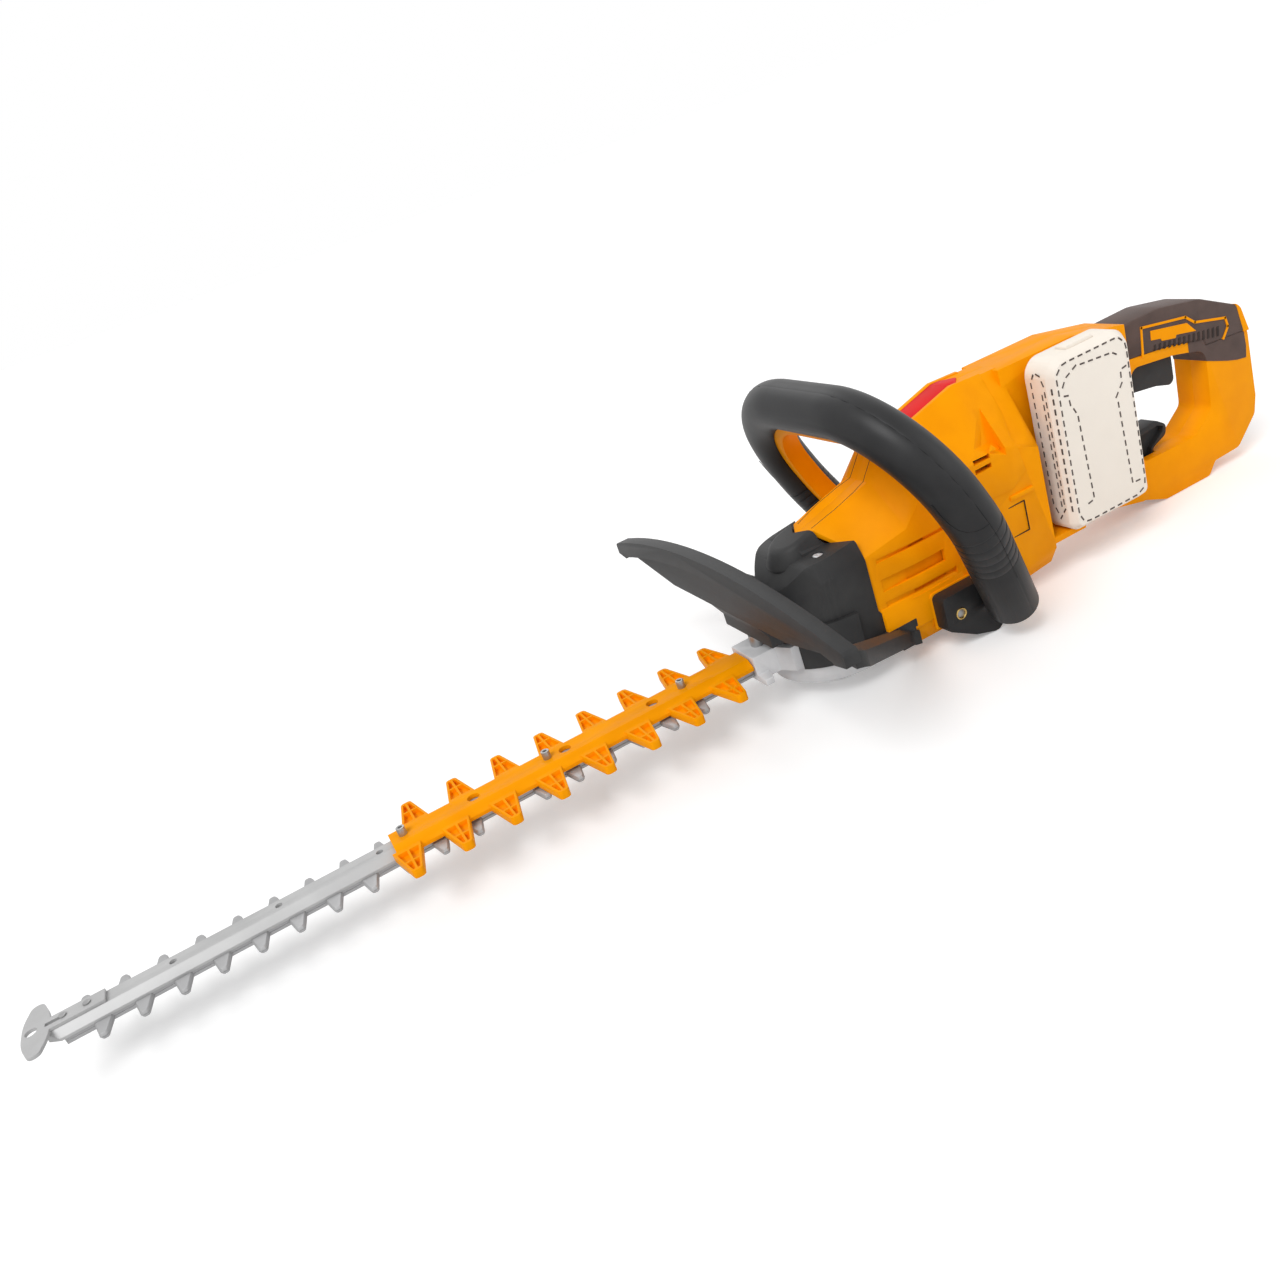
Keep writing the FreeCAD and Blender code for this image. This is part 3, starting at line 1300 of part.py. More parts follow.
def bow_path(body, side, end):
    """Half of the bow's middle line, from its top down to its foot, or to a part of its last straight."""
    item = sketch(body, "YZ", d.bow_at, slide=(0, d.bow_drop * -1), turn=BOW_LEAN)
    knee = (side * d.bow_half, d.bow_knee)
    foot = (side * d.bow_foot, d.bow_low)
    foot = (foot[0] + (knee[0] - foot[0]) * end, foot[1] + (knee[1] - foot[1]) * end)
    names = [(size(0), d.bow_tall), (side * d.bow_half, d.bow_tall), knee, foot]
    radii = [None, d.bow_round, d.knee_round, None]
    corners = [Vector(float(x), float(y), 0) for x, y in names]
    spots = []
    for i in (1, 2):
        back = (corners[i - 1] - corners[i]).normalize()
        ahead = (corners[i + 1] - corners[i]).normalize()
        angle = back.getAngle(ahead) / 2
        radius = float(radii[i])
        reach = radius / math.tan(angle)
        centre = corners[i] + (back + ahead).normalize() * (radius / math.sin(angle))
        spots.append((corners[i] + back * reach, corners[i] + ahead * reach, centre, back.cross(ahead).z < 0))
    ends = [corners[0], spots[0][0], spots[0][1], spots[1][0], spots[1][1], corners[3]]
    lines = [item.addGeometry(Part.LineSegment(ends[2 * i], ends[2 * i + 1]), False) for i in range(3)]
    for i, (first, last, centre, left_turn) in enumerate(spots):
        angles = [math.atan2((p - centre).y, (p - centre).x) for p in (first, last)]
        if not left_turn:
            angles.reverse()
        ring = Part.Circle(centre, Vector(0, 0, 1), float(radii[i + 1]))
        arc = item.addGeometry(Part.ArcOfCircle(ring, angles[0], angles[1]), False)
        begin, finish = (1, 2) if left_turn else (2, 1)
        item.addConstraint(Sketcher.Constraint("Tangent", lines[i], 2, arc, begin))
        item.addConstraint(Sketcher.Constraint("Tangent", arc, finish, lines[i + 1], 1))
        number = item.addConstraint(Sketcher.Constraint("Radius", arc, float(radii[i + 1])))
        item.setExpression("Constraints[%d]" % number, radii[i + 1].text)
        mark = item.addGeometry(Part.Point(corners[i + 1]), True)
        item.addConstraint(Sketcher.Constraint("PointOnObject", mark, 1, lines[i]))
        item.addConstraint(Sketcher.Constraint("PointOnObject", mark, 1, lines[i + 1]))
        pin_point(item, mark, 1, *names[i + 1])
    pin_point(item, lines[0], 1, *names[0])
    pin_point(item, lines[2], 2, *names[3])
    return item


def bow_profile(body, corners=None, radius=None):
    """A profile across the bow's top, in the plane y = 0, measured from the bow's middle line."""
    lean = math.radians(float(d.bow_lean))
    x = d.bow_at - d.bow_tall * math.sin(lean)
    z = d.bow_tall * math.cos(lean) - d.bow_drop
    item = sketch(body, "XZ", 0, slide=(x, z), turn=Rotation(Vector(0, 0, 1), float(d.bow_lean)))
    if radius is not None:
        return circle(item, 0, 0, radius)
    return outline(item, corners)


def bow_blank(name):
    body = new_body(name)
    for side in (-1, 1):
        pipe(body, bow_profile(body, radius=d.bow_radius), bow_path(body, side, 0))
    return body


def bail_profile(body, grow, deeper):
    half = d.bail_half + grow
    low = -d.bow_radius - d.bail_proud - (2 if float(deeper) > 0 else 0)
    high = -d.bow_radius - d.bail_proud + d.bail_deep + deeper
    return bow_profile(body, corners=box_corners(-half, half, low, high))


def switch_bail():
    body = piece("switch_bail")
    for side in (-1, 1):
        pipe(body, bail_profile(body, 0, size(0)), bow_path(body, side, 0.25))
    return body


def bow_halves():
    groove = new_body("bow_groove")
    for side in (-1, 1):
        pipe(groove, bail_profile(groove, d.gap, d.bail_travel + d.gap), bow_path(groove, side, 0.2))
    tube = cut("bow_tube", bow_blank("bow_blank"), groove)
    front = doc.addObject("Part::Box", "front_room")
    front.Length, front.Width, front.Height = 200, 400, 500
    place = Placement(Vector(float(d.bow_at), -200, -float(d.bow_drop)), Rotation(Vector(0, 1, 0), -float(d.bow_lean)))
    front.Placement = place.multiply(Placement(Vector(-200, 0, -100), Rotation()))
    label(common("bow_front", tube, front), "bow_front")
    label(cut("bow_rear", tube, front), "bow_rear")


def foot_brackets():
    blank = bow_blank("bracket_room")
    for name, side in (("left_foot_bracket", -1), ("right_foot_bracket", 1)):
        body = new_body(name + "_block")
        near, far = d.body_half, d.body_half + d.bracket_thick
        low, high = GROUND, GROUND + d.bracket_high
        corners = [
            (d.bracket_front, low + 18, 4), (d.bracket_front + 22, low + 5, 6), (d.bracket_front + 38, low, 6),
            (d.bow_at - 12, low, 4), (d.bow_at + 4, low + 12, 6), (d.bow_at - 4, high, 6), (d.bracket_front, high, 4),
        ]
        side_plate(body, corners, *((near, far) if side > 0 else (-far, -near)))
        x, z, recess = d.bracket_front + 13, low + 27, far - 3
        disc_side(body, x, z, 4.2, *((recess, far) if side > 0 else (-far, -recess)), cut=True)
        label(cut(name, body, blank), name)


def foot_screws():
    screws = []
    for i, side in enumerate((-1, 1)):
        far = d.body_half + d.bracket_thick
        screw = doc.addObject("Part::Cylinder", "foot_screw_%d" % i)
        screw.Radius = 4
        screw.Height = 2.4
        screw.Placement = Placement(Vector(), Rotation(Vector(1, 0, 0), 90))
        screw.setExpression("Placement.Base.x", (d.bracket_front + 13).text)
        screw.setExpression("Placement.Base.y", (side * (far - 1.8) + 1.2).text)
        screw.setExpression("Placement.Base.z", (GROUND + 27).text)
        screws.append(screw)
    return label(group("foot_screws", screws), "foot_screws")



BUILDERS = [
    blades, bar_bolts, support_bar, tip_plate, tip_rivets, finger_guard, guard_posts, clamp_block, clamp_bolt,
    gearcase_lower, gearcase_upper, bearings, crank_gear, crankshaft, motor_stator, motor_cap, rotor, pinion, fan,
    fan_shroud, hand_guard, nose_cover, nose_screws, housings, rear_grip, trigger, trigger_pins, lock_lever,
    trigger_switch, control_board, dock_frame, pack_terminals, battery_pack, pack_latch, bow_halves, switch_bail,
    foot_brackets, foot_screws,
]
for build in BUILDERS:
    build()
doc.recompute()
for item in doc.Objects:
    if "Invalid" in item.State or "Error" in item.State:
        raise RuntimeError("%s: %s" % (item.Label, item.State))
os.makedirs("parts", exist_ok=True)
for item in PIECES:
    if item.Shape.isNull() or not item.Shape.isValid():
        raise RuntimeError(item.Label + " has no valid shape")
    item.Shape.exportStep("parts/%s.step" % item.Label)
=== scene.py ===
"""The looks of a cordless hedge trimmer: moulded orange shells, black handles, ground steel blades."""

import json
import math

import bpy
from mathutils import Matrix, Vector


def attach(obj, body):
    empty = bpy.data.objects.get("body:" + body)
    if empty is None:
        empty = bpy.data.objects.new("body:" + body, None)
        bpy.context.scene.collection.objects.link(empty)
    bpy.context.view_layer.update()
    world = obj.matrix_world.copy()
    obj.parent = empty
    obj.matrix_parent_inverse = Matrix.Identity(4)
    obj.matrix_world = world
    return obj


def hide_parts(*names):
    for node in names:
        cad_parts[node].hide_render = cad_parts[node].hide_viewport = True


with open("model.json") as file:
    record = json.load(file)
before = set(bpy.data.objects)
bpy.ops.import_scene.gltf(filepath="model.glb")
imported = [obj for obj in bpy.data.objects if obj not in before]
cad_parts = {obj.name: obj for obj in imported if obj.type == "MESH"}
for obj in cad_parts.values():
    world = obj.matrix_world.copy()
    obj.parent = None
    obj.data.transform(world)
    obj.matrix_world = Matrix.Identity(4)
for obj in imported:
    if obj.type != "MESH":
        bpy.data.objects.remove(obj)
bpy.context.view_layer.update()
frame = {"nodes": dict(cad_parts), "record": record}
BODY_OF = {node: body for body, nodes in frame["record"]["behaviour"]["bodies"].items() for node in nodes}
MM = 0.001
SIDES = {-1: "left", 1: "right"}

# The blade's own frame, in millimetres: X runs rearwards from the first tooth, Y to the right, and Z up from
# the plane between the two blades. The model's origin is on the ground under the crank.
CRANK = 548
BLADE_PLANE = 35


def at(x, y, z):
    """A place in the blade's frame as a place in the model."""
    return Vector((x - CRANK, y, z + BLADE_PLANE)) * MM


# ---------------------------------------------------------------- handling

MERGE_WITHIN = 0.00001
FLAT_WITHIN = math.radians(0.6)
SMOOTH_WITHIN = math.radians(32)
EDGE_ANGLE = 35


def pick(thing):
    """Select one object and nothing else."""
    bpy.ops.object.select_all(action="DESELECT")
    thing.hide_viewport = False
    thing.select_set(True)
    bpy.context.view_layer.objects.active = thing
    return thing


def fresh(name, primitive, **sizes):
    """A new piece, started from one of Blender's primitives."""
    bpy.ops.object.select_all(action="DESELECT")
    primitive(**sizes)
    thing = bpy.context.object
    thing.name = name
    return thing


def edit(thing):
    """Open a piece for editing, with all of it selected."""
    pick(thing)
    bpy.ops.object.mode_set(mode="EDIT")
    bpy.ops.mesh.select_all(action="SELECT")


def edit_where(thing, wanted):
    """Open a piece for editing, with the corners selected that lie where they are wanted."""
    edit(thing)
    bpy.ops.mesh.select_mode(type="VERT")
    bpy.ops.mesh.select_all(action="DESELECT")
    done()
    for corner in thing.data.vertices:
        corner.select = wanted(corner.co)
    bpy.ops.object.mode_set(mode="EDIT")


def done():
    """Close the piece that is open for editing."""
    bpy.ops.object.mode_set(mode="OBJECT")


def settle(thing):
    """Put an object's place, turn and size into its mesh."""
    pick(thing)
    bpy.ops.object.transform_apply(location=True, rotation=True, scale=True)
    return thing


def apply(thing, modifier):
    """Put a modifier's result into a piece's mesh."""
    pick(thing)
    bpy.ops.object.modifier_apply(modifier=modifier.name)


def cloned(node):
    """A clean copy of a CAD node: its loose triangles merged, and flat faces joined."""
    source = frame["nodes"][node]
    thing = source.copy()
    thing.data = source.data.copy()
    thing.name = node + "_shell"
    thing.parent = None
    bpy.context.scene.collection.objects.link(thing)
    edit(thing)
    bpy.ops.mesh.remove_doubles(threshold=MERGE_WITHIN)
    bpy.ops.mesh.dissolve_limited(angle_limit=FLAT_WITHIN)
    done()
    return thing


def carve(thing, tools, operation="DIFFERENCE"):
    """Cut tools out of a piece, or join them to it, and remove them."""
    for tool in tools:
        modifier = thing.modifiers.new("carve", "BOOLEAN")
        modifier.operation = operation
        modifier.solver = "EXACT"
        modifier.object = tool
        apply(thing, modifier)
        bpy.data.objects.remove(tool)
    return thing


def swell(thing, lift):
    """Move all faces of a piece outwards."""
    edit(thing)
    bpy.ops.transform.shrink_fatten(value=lift * MM)
    done()
    return thing


def bevel(thing, width, segments, angle):
    """Round every edge that is sharper than the angle."""
    modifier = thing.modifiers.new("round", "BEVEL")
    modifier.width = width * MM
    modifier.segments = segments
    modifier.limit_method = "ANGLE"
    modifier.angle_limit = math.radians(angle)
    apply(thing, modifier)
    return thing


def smooth(thing):
    """Shade a piece smooth, except over its sharp edges."""
    pick(thing)
    bpy.ops.object.shade_smooth_by_angle(angle=SMOOTH_WITHIN)
    return thing


def ease(thing, width, segments=2):
    """Round a piece's sharp edges, and shade the rest smooth."""
    return smooth(bevel(thing, width, segments, EDGE_ANGLE))


def dress(thing, material, body, node=None):
    """Give a piece its material and the body that it moves with, and hide the node that it stands in for."""
    thing.data.materials.clear()
    thing.data.materials.append(material)
    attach(thing, body)
    if node:
        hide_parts(node)
    return thing


def turned(x, y, z):
    """The turn that carries a piece's own axes onto three others."""
    return Matrix((x, y, z)).transposed().to_4x4()


def lay(thing, origin, across, up):
    """Turn a piece so that its X runs along across and its Y along up, and put it at origin."""
    x = Vector(across).normalized()
    z = x.cross(Vector(up)).normalized()
    thing.matrix_world = Matrix.Translation(origin) @ turned(x, z.cross(x), z)
    return settle(thing)


# ---------------------------------------------------------------- materials

CLOUD_SPREAD = 25
GRAIN_HEIGHT = 0.0004


def moulded(name, colour, shade, grain, roughness, depth=0.05, metal=0.0, coat=0.0, gloss=0.25,
            streak=(1, 1, 1)):
    """A surface with a slow change of tone, a fine grain, and roughness that wanders a little."""
    material = bpy.data.materials.new(name)
    material.use_nodes = True
    nodes, links = material.node_tree.nodes, material.node_tree.links
    shader = nodes["Principled BSDF"]
    shader.inputs["Metallic"].default_value = metal
    shader.inputs["Coat Weight"].default_value = coat
    shader.inputs["Coat Roughness"].default_value = 0.15
    shader.inputs["Specular IOR Level"].default_value = gloss
    place = nodes.new("ShaderNodeTexCoord")
    stretch = nodes.new("ShaderNodeMapping")
    stretch.inputs["Scale"].default_value = streak
    links.new(place.outputs["Object"], stretch.inputs["Vector"])
    cloud = nodes.new("ShaderNodeTexNoise")
    cloud.inputs["Scale"].default_value = grain / CLOUD_SPREAD
    cloud.inputs["Detail"].default_value = 4
    links.new(stretch.outputs["Vector"], cloud.inputs["Vector"])
    tone = nodes.new("ShaderNodeValToRGB")
    tone.color_ramp.elements[0].position = 0.3
    tone.color_ramp.elements[0].color = (*shade, 1)
    tone.color_ramp.elements[1].position = 0.7
    tone.color_ramp.elements[1].color = (*colour, 1)
    links.new(cloud.outputs["Fac"], tone.inputs["Fac"])
    links.new(tone.outputs["Color"], shader.inputs["Base Color"])
    wander = nodes.new("ShaderNodeMapRange")
    wander.inputs["To Min"].default_value = roughness - 0.06
    wander.inputs["To Max"].default_value = roughness + 0.08
    links.new(cloud.outputs["Fac"], wander.inputs["Value"])
    links.new(wander.outputs["Result"], shader.inputs["Roughness"])
    speck = nodes.new("ShaderNodeTexNoise")
    speck.inputs["Scale"].default_value = grain
    speck.inputs["Detail"].default_value = 3
    links.new(stretch.outputs["Vector"], speck.inputs["Vector"])
    bump = nodes.new("ShaderNodeBump")
    bump.inputs["Strength"].default_value = depth
    bump.inputs["Distance"].default_value = GRAIN_HEIGHT
    links.new(speck.outputs["Fac"], bump.inputs["Height"])
    links.new(bump.outputs["Normal"], shader.inputs["Normal"])
    return material


ORANGE = moulded("orange_moulding", (1.0, 0.365, 0.0), (0.94, 0.325, 0.0), grain=1100, roughness=0.45,
                 gloss=0.05)
BLACK = moulded("black_moulding", (0.026, 0.026, 0.027), (0.019, 0.019, 0.02), grain=1400, depth=0.08,
                roughness=0.4)
GUARD = moulded("guard_moulding", (0.043, 0.043, 0.043), (0.033, 0.033, 0.034), grain=1400, depth=0.1,
                roughness=0.48, gloss=0.2)
GRIP = moulded("soft_grip", (0.105, 0.068, 0.058), (0.075, 0.048, 0.041), grain=1900, depth=0.2,
               roughness=0.48)
RIB = moulded("grip_rib", (0.04, 0.026, 0.022), (0.026, 0.017, 0.015), grain=1900, depth=0.2, roughness=0.6)
STEEL = moulded("ground_steel", (0.5, 0.5, 0.505), (0.38, 0.38, 0.385), grain=500, depth=0.08, roughness=0.45,
                metal=0.4, streak=(0.12, 1.6, 1))
PLATE = moulded("plated_steel", (0.54, 0.54, 0.54), (0.45, 0.45, 0.45), grain=700, depth=0.06, roughness=0.5,
                metal=0.3)
SCREW = moulded("screw_steel", (0.45, 0.45, 0.45), (0.3, 0.3, 0.3), grain=1600, depth=0.1, roughness=0.32,
                metal=0.8)
ZINC = moulded("zinc_plating", (0.74, 0.74, 0.75), (0.62, 0.62, 0.63), grain=1500, depth=0.08, roughness=0.35,
               metal=0.25)
CAST = moulded("cast_alloy", (0.72, 0.72, 0.73), (0.62, 0.62, 0.63), grain=1500, depth=0.25, roughness=0.5,
               metal=0.25)
GEAR = moulded("hobbed_steel", (0.4, 0.4, 0.42), (0.3, 0.3, 0.31), grain=900, depth=0.1, roughness=0.3,
               metal=0.9)
RACE = moulded("bearing_race", (0.7, 0.7, 0.72), (0.6, 0.6, 0.62), grain=600, depth=0.03, roughness=0.16,
               metal=1.0)
IRON = moulded("motor_iron", (0.2, 0.2, 0.21), (0.12, 0.12, 0.13), grain=500, depth=0.15, roughness=0.5,
               metal=0.7, streak=(1, 1, 8))
PACK = moulded("pack_moulding", (0.94, 0.87, 0.78), (0.92, 0.85, 0.76), grain=1200, depth=0.04,
               roughness=0.55, gloss=0.1)
DASH = moulded("pack_dash", (0.115, 0.09, 0.08), (0.085, 0.066, 0.06), grain=1200, depth=0.05, roughness=0.6)
RED = moulded("ridge_red", (0.78, 0.014, 0.014), (0.68, 0.01, 0.012), grain=900, depth=0.03, roughness=0.45,
              gloss=0.1)
# painted shade: the near-black of the louvres' floors, which stands in for the dark inside of the vents
LOUVRE_SHADE = moulded("louvre_painted_shade", (0.01, 0.01, 0.01), (0.006, 0.006, 0.006), grain=1400, depth=0.05, roughness=0.6)
SEAM = moulded("seam_shadow", (0.012, 0.012, 0.012), (0.007, 0.007, 0.007), grain=1400, depth=0.05,
               roughness=0.7)
BOARD = moulded("circuit_board", (0.012, 0.13, 0.05), (0.008, 0.08, 0.03), grain=800, depth=0.1,
                roughness=0.35, coat=0.4)
BRASS = moulded("contact_brass", (0.78, 0.55, 0.2), (0.6, 0.4, 0.13), grain=900, depth=0.05, roughness=0.25,
                metal=1.0)

FINISHES = {
    # the cutting end
    "upper_blade": STEEL, "lower_blade": STEEL, "support_bar": PLATE, "bar_bolts": SCREW, "tip_plate": PLATE,
    "tip_rivets": SCREW, "finger_guard": ORANGE, "guard_posts": SCREW, "clamp_block": CAST,
    "clamp_bolt": SCREW,
    # the drive
    "gearcase_lower": CAST, "gearcase_upper": CAST, "bearings": RACE, "crank_gear": GEAR, "crankshaft": GEAR,
    "motor_stator": IRON, "motor_cap": BLACK, "rotor": IRON, "pinion": GEAR, "fan": BLACK,
    "fan_shroud": BLACK, "hand_guard": GUARD, "nose_cover": GUARD, "nose_screws": ZINC,
    # the housing and the rear handle
    "left_housing": ORANGE, "right_housing": ORANGE, "rear_grip": GRIP, "trigger": GUARD,
    "trigger_pins": SCREW, "lock_lever": BLACK, "trigger_switch": BLACK, "control_board": BOARD,
    "battery_dock": BLACK, "pack_terminals": BRASS, "battery_pack": PACK, "pack_latch": PACK,
    # the bow
    "bow_front": BLACK, "bow_rear": BLACK, "switch_bail": ORANGE, "left_foot_bracket": BLACK,
    "right_foot_bracket": BLACK, "foot_screws": SCREW,
}

# How far the edges of each outer node are rounded, in millimetres.
EASED = {
    "finger_guard": 0.5, "clamp_block": 1.0, "clamp_bolt": 0.5, "gearcase_lower": 0.8, "hand_guard": 1.6,
    "nose_cover": 1.2, "left_housing": 1.4, "right_housing": 1.4, "rear_grip": 3.5, "trigger": 1.5,
    "lock_lever": 1.5, "battery_pack": 0.25, "pack_latch": 0.5, "left_foot_bracket": 1.5,
    "right_foot_bracket": 1.5, "tip_plate": 0.3, "support_bar": 0.3, "upper_blade": 0.2, "lower_blade": 0.2,
    "switch_bail": 1.5, "bow_front": 0.4, "bow_rear": 0.4, "nose_screws": 0.4, "foot_screws": 0.4,
    "guard_posts": 0.3, "tip_rivets": 0.4,
}

shells = {node: cloned(node) for node in EASED}


def finish_shells():
    """Round and dress every copy, and give the other nodes their materials."""
    for node, thing in shells.items():
        ease(thing, EASED[node])
        dress(thing, FINISHES[node], BODY_OF[node], node=node)
    for node, thing in frame["nodes"].items():
        if node not in shells:
            thing.data.materials.clear()
            thing.data.materials.append(FINISHES[node])


# ---------------------------------------------------------------- ways to make small pieces


def rectangle(left, foot, right, head):
    """The four corners of a rectangle, from its lower left one round."""
    return [(left, foot), (right, foot), (right, head), (left, head)]


def prism(name, corners, depth):
    """A block with an outline in its own XY plane, extruded along Z. Corners are in millimetres."""
    thing = fresh(name, bpy.ops.mesh.primitive_circle_add, vertices=len(corners), radius=1, fill_type="NGON")
    for vertex, (x, y) in zip(thing.data.vertices, corners):
        vertex.co = (x * MM, y * MM, 0)
    edit(thing)
    bpy.ops.mesh.extrude_region_move(TRANSFORM_OT_translate={"value": (0, 0, depth * MM)})
    bpy.ops.mesh.select_all(action="SELECT")
    bpy.ops.mesh.normals_make_consistent(inside=False)
    done()
    return thing


def panel(name, corners, side, face, depth):
    """A plate drawn from the side in (X, Z), standing out of the plane Y = side * face by depth."""
    start = -face if side < 0 else face + depth
    return lay(prism(name, corners, depth), at(0, start, 0), (1, 0, 0), (0, 0, 1))


def slab(name, corners, foot, depth):
    """A plate drawn from above in (X, Y), standing up from the height of its foot by depth."""
    return lay(prism(name, corners, depth), at(0, 0, foot), (1, 0, 0), (0, 1, 0))


def tidy_faces(thing):
    """Merge doubled corners, and make a piece's faces point outwards."""
    edit(thing)
    bpy.ops.mesh.remove_doubles(threshold=MERGE_WITHIN / 10)
    bpy.ops.mesh.normals_make_consistent(inside=False)
    done()
    return thing


def wedge(name, spots, side):
    """A solid with four corners, each given as (X, out from the middle, Z)."""
    thing = fresh(name, bpy.ops.mesh.primitive_cone_add, vertices=3, radius1=1, radius2=0, depth=1)
    for vertex, (x, out, z) in zip(thing.data.vertices, spots):
        vertex.co = at(x, side * out, z)
    return tidy_faces(thing)


def joined(name, things):
    """One object out of several."""
    bpy.ops.object.select_all(action="DESELECT")
    for thing in things:
        thing.select_set(True)
    bpy.context.view_layer.objects.active = things[0]
    bpy.ops.object.join()
    whole = bpy.context.object
    whole.name = name
    return whole


def thread(name, points, radius):
    """A thin round line through places in the model, as a mesh."""
    thing = fresh(name, bpy.ops.curve.primitive_bezier_curve_add)
    thing.data.splines.clear()
    run = thing.data.splines.new("POLY")
    run.points.add(len(points) - 1)
    for spot, place in zip(run.points, points):
        spot.co = (*place, 1)
    thing.data.dimensions = "3D"
    thing.data.bevel_depth = radius * MM
    thing.data.bevel_resolution = 1
    thing.data.use_fill_caps = True
    bpy.ops.object.convert(target="MESH")
    return tidy_faces(bpy.context.object)


def stroke(name, points, wide, thick, normal):
    """A flat band of constant width along straight runs on a face. The runs lap over at the corners."""
    lap = 0.8 * wide
    parts = []
    for first, last in zip(points, points[1:]):
        run = last - first
        ahead, up = run.normalized(), Vector(normal).normalized()
        part = fresh("part", bpy.ops.mesh.primitive_cube_add, size=1)
        size = Matrix.Diagonal((run.length + lap * MM, wide * MM, thick * MM, 1))
        part.matrix_world = Matrix.Translation((first + last) / 2) @ turned(ahead, up.cross(ahead), up) @ size
        parts.append(settle(part))
    return tidy_faces(joined(name, parts))


def ribbon(points, wide):
    """The outline of a line of constant width that follows points in a plane."""
    left, right = [], []
    for i, (x, y) in enumerate(points):
        before, after = points[max(i - 1, 0)], points[min(i + 1, len(points) - 1)]
        run = Vector((after[0] - before[0], after[1] - before[1])).normalized() * wide / 2
        left.append((x - run.y, y + run.x))
        right.append((x + run.y, y - run.x))
    return left + right[::-1]


def skin(name, node, tool, lift, material):
    """A thin cover over the part of a node that lies inside a tool, a little proud of it."""
    cover = cloned(node)
    cover.name = name
    carve(cover, [tool], "INTERSECT")
    return dress(smooth(swell(cover, lift)), material, BODY_OF[node])


# ---------------------------------------------------------------- battery pack

PACK_LEFT, PACK_RIGHT = 739, 815
PACK_LOW, PACK_HIGH = -1, 132
PACK_FACE = -54.4
RIM_UPPER_LEFT, RIM_LOWER_RIGHT, RIM_CORNER, CORNER_STEPS = 5.2, 5.4, 11, 5
DASH_LONG, DASH_GAP, DASH_WIDE, DASH_THICK = 4.6, 3.0, 1.25, 0.5
DASH_SUNK, DASH_EDGE = 0.05, 0.2


def arc_corner(middle, radius, start):
    """Points of a quarter round in a face, from a start angle in degrees."""
    spots = []
    for i in range(CORNER_STEPS + 1):
        angle = math.radians(start + 90 * i / CORNER_STEPS)
        spots.append((middle[0] + radius * math.cos(angle), middle[1] + radius * math.sin(angle)))
    return spots


def dashes(name, routes, place, normal):
    """Short raised bars in a row along routes in a face. place turns a route's point into a place."""
    pattern = fresh("bar", bpy.ops.mesh.primitive_cube_add, size=1)
    pattern.scale = (DASH_LONG * MM, DASH_WIDE * MM, DASH_THICK * MM)
    bevel(settle(pattern), DASH_EDGE, 1, 30)
    up = Vector(normal).normalized()
    bars = []
    for route in routes:
        spots = [place(*point) for point in route]
        reach = DASH_LONG / 2 * MM
        for first, last in zip(spots, spots[1:]):
            run = last - first
            ahead = run.normalized()
            turn = turned(ahead, up.cross(ahead), up)
            while reach < run.length:
                bar = pattern.copy()
                bar.data = pattern.data.copy()
                bpy.context.scene.collection.objects.link(bar)
                bar.matrix_world = Matrix.Translation(first + ahead * reach) @ turn
                bars.append(settle(bar))
                reach += (DASH_LONG + DASH_GAP) * MM
            reach -= run.length
    bpy.data.objects.remove(pattern)
    return dress(joined(name, bars), DASH, BODY_OF["battery_pack"])


def front_dashes():
    """The rim line of the pack's wide face, and the broken lines inside it."""
    left, right = PACK_LEFT + RIM_UPPER_LEFT + RIM_CORNER, PACK_RIGHT - RIM_LOWER_RIGHT - RIM_CORNER
    low, high = PACK_LOW + RIM_LOWER_RIGHT + RIM_CORNER, PACK_HIGH - RIM_UPPER_LEFT - RIM_CORNER
    rim = []
    for x, z, start in ((right, high, 0), (left, high, 90), (left, low, 180), (right, low, 270)):
        rim += arc_corner((x, z), RIM_CORNER, start)
    routes = [
        rim + rim[:1],
        [(748, 110), (752, 116), (762, 121), (796, 118), (803, 113)],
        [(748, 104), (752, 103), (752.5, 97), (757.5, 86), (760, 19), (749, 16.5)],
        [(807.5, 104), (801.5, 103), (801, 93), (795, 86), (797.5, 15.5), (807.5, 15)],
    ]
    dashes("pack_front_dashes", routes, lambda x, z: at(x, PACK_FACE - DASH_SUNK, z), (0, -1, 0))


def side_dashes():
    """The broken lines of the pack's narrow left face: a long loop with one line inside it."""
    near, far = -46.5, -30
    routes = [
        [(near, 114), (near + 3, 122), (near + 8, 124), (far - 4, 116), (far - 5, 22), (near + 6, 10),
         (near, 18), (near, 114)],
        [(near + 3, 108), (near + 3, 22)],
    ]
    dashes("pack_side_dashes", routes, lambda y, z: at(PACK_LEFT - DASH_SUNK, y, z), (-1, 0, 0))


def edge_dashes():
    """One broken line down the slanted edge between the two faces."""
    dashes("pack_edge_dashes", [[(112, 0), (18, 0)]], lambda z, y: at(PACK_LEFT + 2.0, -51.5, z),
           (-0.82, -0.57, 0))


# ---------------------------------------------------------------- rear grip

GRIP_FACE = 17
INLAY_DEEP = 0.5
COVER_THICK, SPINE_REACH = 0.45, 40
RIB_FRONT, RIB_STEP, RIB_COUNT, RIB_WIDE, RIB_LEAN = 872, 5, 14, 2.4, 0.8


def grip_line(side):
    """The orange line that runs round the badge and the ribs."""
    border = [(860.5, 88.5), (862.5, 110), (907, 102), (916, 94.5), (947.5, 86.5), (949.5, 79), (943.5, 71)]
    points = [at(x, side * (GRIP_FACE + 0.1), z) for x, z in border]
    dress(stroke("grip_line_" + SIDES[side], points, 1.9, 0.9, (0, side, 0)), ORANGE, BODY_OF["rear_grip"])


